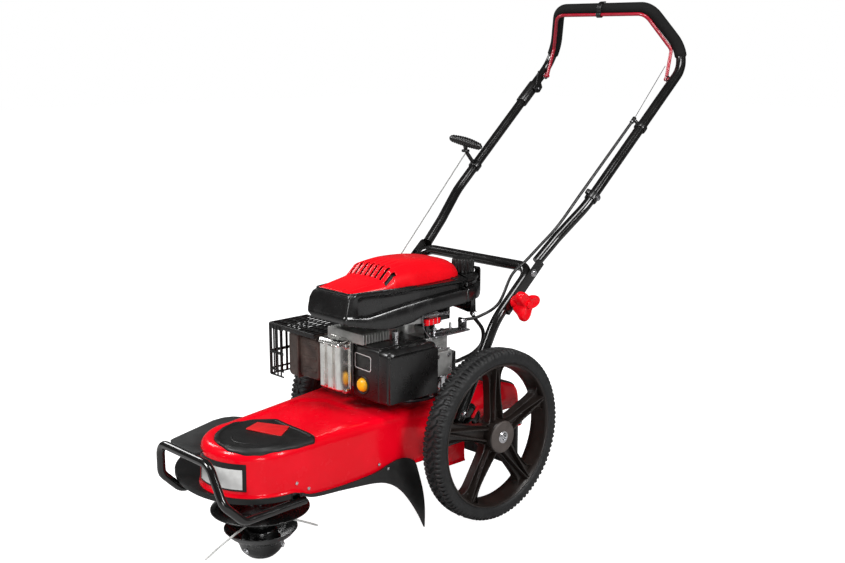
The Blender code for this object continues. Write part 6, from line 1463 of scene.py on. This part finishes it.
def makeLatch():
    # a block along the right tube with the latch's pin, and the horned latch
    up = handle["latchUp"]
    place = alongHandle(up, 0, -tubeX(up))
    pin = place + [handle["tube"] + 0.001, 0, 0]
    steel = [rodPart(pin, pin + [0.013, 0, 0], 0.003, 20)]
    for along in (-0.044, 0.004):
        bolt = place + handleUp * along + [-(handle["tube"] + 0.0026), 0, 0]
        steel.append(boltPart(bolt, (-1, 0, 0), 0.0036, 0.003))
    parts = [(collar(up, 0.0515, 0.0115, -1), "blackPlastic"), (steel, "zincSteel")]
    makePiece("latchBlock", parts, "handle", ["latch_block"], 40)
    loop = roundedLoop([(-0.01, -0.012), (0.004, -0.012), (0.03, -0.03), (0.034, -0.027), (0.018, -0.002),
                        (0.014, 0.01), (-0.002, 0.012), (-0.01, 0.006)],
                       [0.003, 0.004, 0.0015, 0.0015, 0.006, 0.004, 0.005, 0.004], 5)
    loop, base = counterClockwise(loop), pin + [0.0036, 0, 0]
    rows = []
    for inset, out in ((0.0007, 0), (0, 0.0007), (0, 0.0042), (0.0007, 0.0049)):
        rows.append([base + handleUp * a + handleBack * b + [out, 0, 0] for a, b in insetLoop(loop, inset)])
    makePiece("bailLatch", [(solid(np.array(rows)), "blackPlastic")], "latch_lever",
              ["bail_latch"], 35)


def makeKnobs():
    # three rounded lobes round a neck: the radius swells at three angles
    seat = webX + 0.0003
    place = alongHandle(handle["knobUp"])
    a = np.linspace(0, 2 * math.pi, 120, endpoint=False)
    lobe = (np.cos(3 * (a - math.radians(12))) * 0.5 + 0.5) ** 1.25
    loop = place[1:] + np.stack([np.cos(a), np.sin(a)], 1) * (0.015 + 0.0208 * lobe)[:, None]
    steps = ((0.017, -0.029), (0.015, -0.0285), (0.013, -0.024), (0.009, -0.016), (0.0035, -0.008),
             (0.0008, -0.004), (0, 0.0), (0, 0.004), (0.0007, 0.0072), (0.0024, 0.0094),
             (0.0046, 0.0102), (0.007, 0.0098), (0.012, 0.0084))
    neck = roundedLoop([(0.0043, 0), (0.012, 0), (0.0128, 0.004), (0.01, 0.014), (0.01, 0.026),
                        (0.0043, 0.026)], [0.0003, 0.001, 0.002, 0.006, 0.001, 0.0003], 4)
    cap = roundedLoop([(0.0002, 0.04), (0.0085, 0.04), (0.0082, 0.0445), (0.0066, 0.0457),
                       (0.0002, 0.0457)], [0.0001, 0.001, 0.002, 0.002, 0.0001], 4)
    for side in (1, -1):
        rows = [(inset, side * (seat + 0.046 * 0.72 + out)) for inset, out in steps]
        base, axis = (side * seat, *place[1:]), (side, 0, 0)
        parts = [solid(insetRows(loop, rows, "x", drawnIn)), lathe(neck, base, axis, 40),
                 lathe(cap, base, axis, 40)]
        name = wheelSide(side)
        makePiece("knob" + name.title(), [(parts, "redPlastic")], name + "_knob",
                  ["knob_" + name], 38)


def makeStarter(eye):
    # the rope runs straight from the engine's top to the guide; the ribbed grip sits above the eye
    start, end = np.array([0.006, -0.06, engine["top"] + 0.0435]), eye - [0, 0, 0.0055]
    path = start + (end - start) * np.linspace(0, 1, 60)[:, None]
    a = np.linspace(0, 2 * math.pi, 12, endpoint=False)[:, None]
    section = np.stack([circle(1, 12) * (0.0014 + 0.00013 * np.cos(3 * a + k * 0.9)) for k in range(60)])
    parts = [(sweep(path, section), "rope")]
    rope = makePiece("starterRope", parts, None, ["starter_rope"], 60)
    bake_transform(rope)
    tail = np.array([eye + [0, 0, up] for up in np.linspace(-0.0052, 0.004, 8)])
    makePiece("ropeEnd", [(tubePart(tail, 0.0015, 12, (1, 0.1, 0)), "rope")], "handle")
    base = eye + [0, 0, 0.0036]
    ends = [base + [-0.04, -0.013, 0.026], base + [0, 0, 0.0175], base + [0.04, 0.013, 0.006]]
    line = evenPath(smoothPath(ends, 40), 0.0012)
    n = len(line)
    belly = 0.0074 + 0.0034 * np.sin(np.linspace(0, math.pi, n))
    groove = 0.0007 * np.cos(np.arange(n) * 2 * math.pi / 5)
    roll = np.minimum(np.arange(n), np.arange(n)[::-1]) / 5
    radius = (belly - groove) * np.sqrt(np.clip(0.25 + 0.75 * roll, 0, 1))
    neck = roundedLoop([(0.0002, 0.0), (0.0046, 0.0), (0.0056, 0.006), (0.0075, 0.013), (0.0002, 0.013)],
                       [0.0001, 0.001, 0.003, 0.001, 0.0001], 3)
    parts = [tubePart(line, radius, 24), lathe(neck, base, steps=32)]
    makePiece("starterGrip", [(parts, "blackPlastic")], "recoil_grip", ["starter_grip"], 45)


def makeCables():
    # the inner wire up to the bail, and the black cable down to the engine's brake
    place = alongHandle(handle["stopUp"], 0, tubeX(handle["stopUp"]))
    front = place - handleBack * 0.024 + [-0.008, 0, 0]
    low = front + handleUp * 0.0063
    pivot = np.array([handle["bailX"], *alongHandle(handle["bailUp"])[1:]])
    high = pivot + (np.array(handle["bailElbow"]) - pivot) * 0.45 + [-0.0052, -0.005, 0]
    path = low + (high - low) * np.linspace(0, 1, 16)[:, None]
    parts = [(tubePart(path, 0.0008, 10), "zincSteel")]
    wire = makePiece("bailWire", parts, None, ["bail_wire"], 60)
    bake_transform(wire)
    start, touch = front - handleUp * 0.0103, handle["tube"] + 0.0032 + 0.0006
    kink = alongHandle(0.12, -touch - 0.002, tubeX(0.12) - 0.004)
    path = smoothPath([start, start + (kink - start) * 0.35, start + (kink - start) * 0.7, kink,
                       alongHandle(0.06, -touch - 0.001, 0.164), alongHandle(0.015, -touch - 0.002, 0.156),
                       alongHandle(-0.03, -touch - 0.006, 0.15), (0.146, 0.085, 0.425),
                       (0.134, 0.04, 0.403), (0.116, 0.0155, 0.397)], 110)
    parts = [(tubePart(path, 0.0032, 16, handleBack), "blackRubber")]
    cable = makePiece("controlCable", parts, None, ["control_cable"], 60)
    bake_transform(cable)


makeLowerHandle()
makeUpperHandle()
makeFoam()
makeBail()
makeStarter(makeSmallParts())
makeLatch()
makeKnobs()
makeCables()
print("handle made")


# Camera at the photograph's view, light and floor

view = {"focal": 1178.4, "width": 845, "place": (1.7838, -1.6683, 0.9659), "turn": 46.827, "pitch": 11.656,
        "fill": 0.07, "floorGlow": 0.97}
lights = {"key": ((-0.7, -2.5, 2.3), 1.0, 84), "side": ((2.9, 0.5, 1.9), 0.9, 58),
          "top": ((1.0, -0.6, 3.0), 1.0, 36), "rim": ((-2.6, -0.5, 2.0), 0.9, 24),
          "front": ((2.6, -1.9, 0.7), 0.9, 20)}


def makeCamera():
    # the lens is the sensor's width times the focal length in pixels over the picture's width
    data = bpy.data.cameras.new("camera")
    data.sensor_width = 36
    data.lens = 36 * view["focal"] / view["width"]
    camera = bpy.data.objects.new("camera", data)
    bpy.context.scene.collection.objects.link(camera)
    camera.location = np.array(view["place"]) + rowShift
    camera.rotation_euler = (math.radians(90 - view["pitch"]), 0, math.radians(view["turn"]))
    bpy.context.scene.camera = camera


def makeLights():
    # soft discs that face the mower's middle, and a white world that lights the mower only faintly
    target = Vector((0.05, 0.0, 0.4))
    for name, (place, size, power) in lights.items():
        data = bpy.data.lights.new(name, "AREA")
        data.shape, data.size, data.energy = "DISK", size, power
        light = bpy.data.objects.new(name, data)
        bpy.context.scene.collection.objects.link(light)
        light.location = place
        light.rotation_euler = (target - Vector(place)).to_track_quat("-Z", "Y").to_euler()
    world = bpy.data.worlds.new("studio")
    world.use_nodes = True
    tree, shown = world.node_tree, world.node_tree.nodes["Background"]
    kinds = ("Background", "MixShader", "LightPath")
    fill, blend, ray = (tree.nodes.new("ShaderNode" + kind) for kind in kinds)
    for background, strength in ((shown, 1.0), (fill, view["fill"])):
        background.inputs["Strength"].default_value = strength
        background.inputs["Color"].default_value = (1, 1, 1, 1)
    tree.links.new(ray.outputs["Is Camera Ray"], blend.inputs["Fac"])
    tree.links.new(fill.outputs["Background"], blend.inputs[1])
    tree.links.new(shown.outputs["Background"], blend.inputs[2])
    tree.links.new(blend.outputs["Shader"], tree.nodes["World Output"].inputs["Surface"])
    bpy.context.scene.world = world


def makeFloor():
    # pale paper that glows where the camera sees it, so that it stays nearly white between the shadows
    x, y = np.meshgrid(np.linspace(-14, 14, 3), np.linspace(-14, 14, 3))
    points, quads, _ = openSheet(np.stack([x, y, np.zeros_like(x)], -1), (0, 0, 1))
    mesh = bpy.data.meshes.new("floor")
    mesh.from_pydata(points.tolist(), [], quads.tolist())
    material = bpy.data.materials.new("floorPaper")
    material.use_nodes = True
    tree = material.node_tree
    shader = tree.nodes["Principled BSDF"]
    shader.inputs["Base Color"].default_value = (0.5, 0.5, 0.5, 1)
    shader.inputs["Roughness"].default_value = 0.9
    shader.inputs["Specular IOR Level"].default_value = 0.1
    shader.inputs["Emission Color"].default_value = (1, 1, 1, 1)
    seen, glow = (tree.nodes.new("ShaderNode" + kind) for kind in ("LightPath", "Math"))
    glow.operation = "MULTIPLY"
    glow.inputs[1].default_value = view["floorGlow"]
    tree.links.new(seen.outputs["Is Camera Ray"], glow.inputs[0])
    tree.links.new(glow.outputs["Value"], shader.inputs["Emission Strength"])
    mesh.materials.append(material)
    floor = bpy.data.objects.new("floor", mesh)
    bpy.context.scene.collection.objects.link(floor)


makeCamera()
makeLights()
makeFloor()
bpy.context.scene.view_settings.view_transform = "Standard"
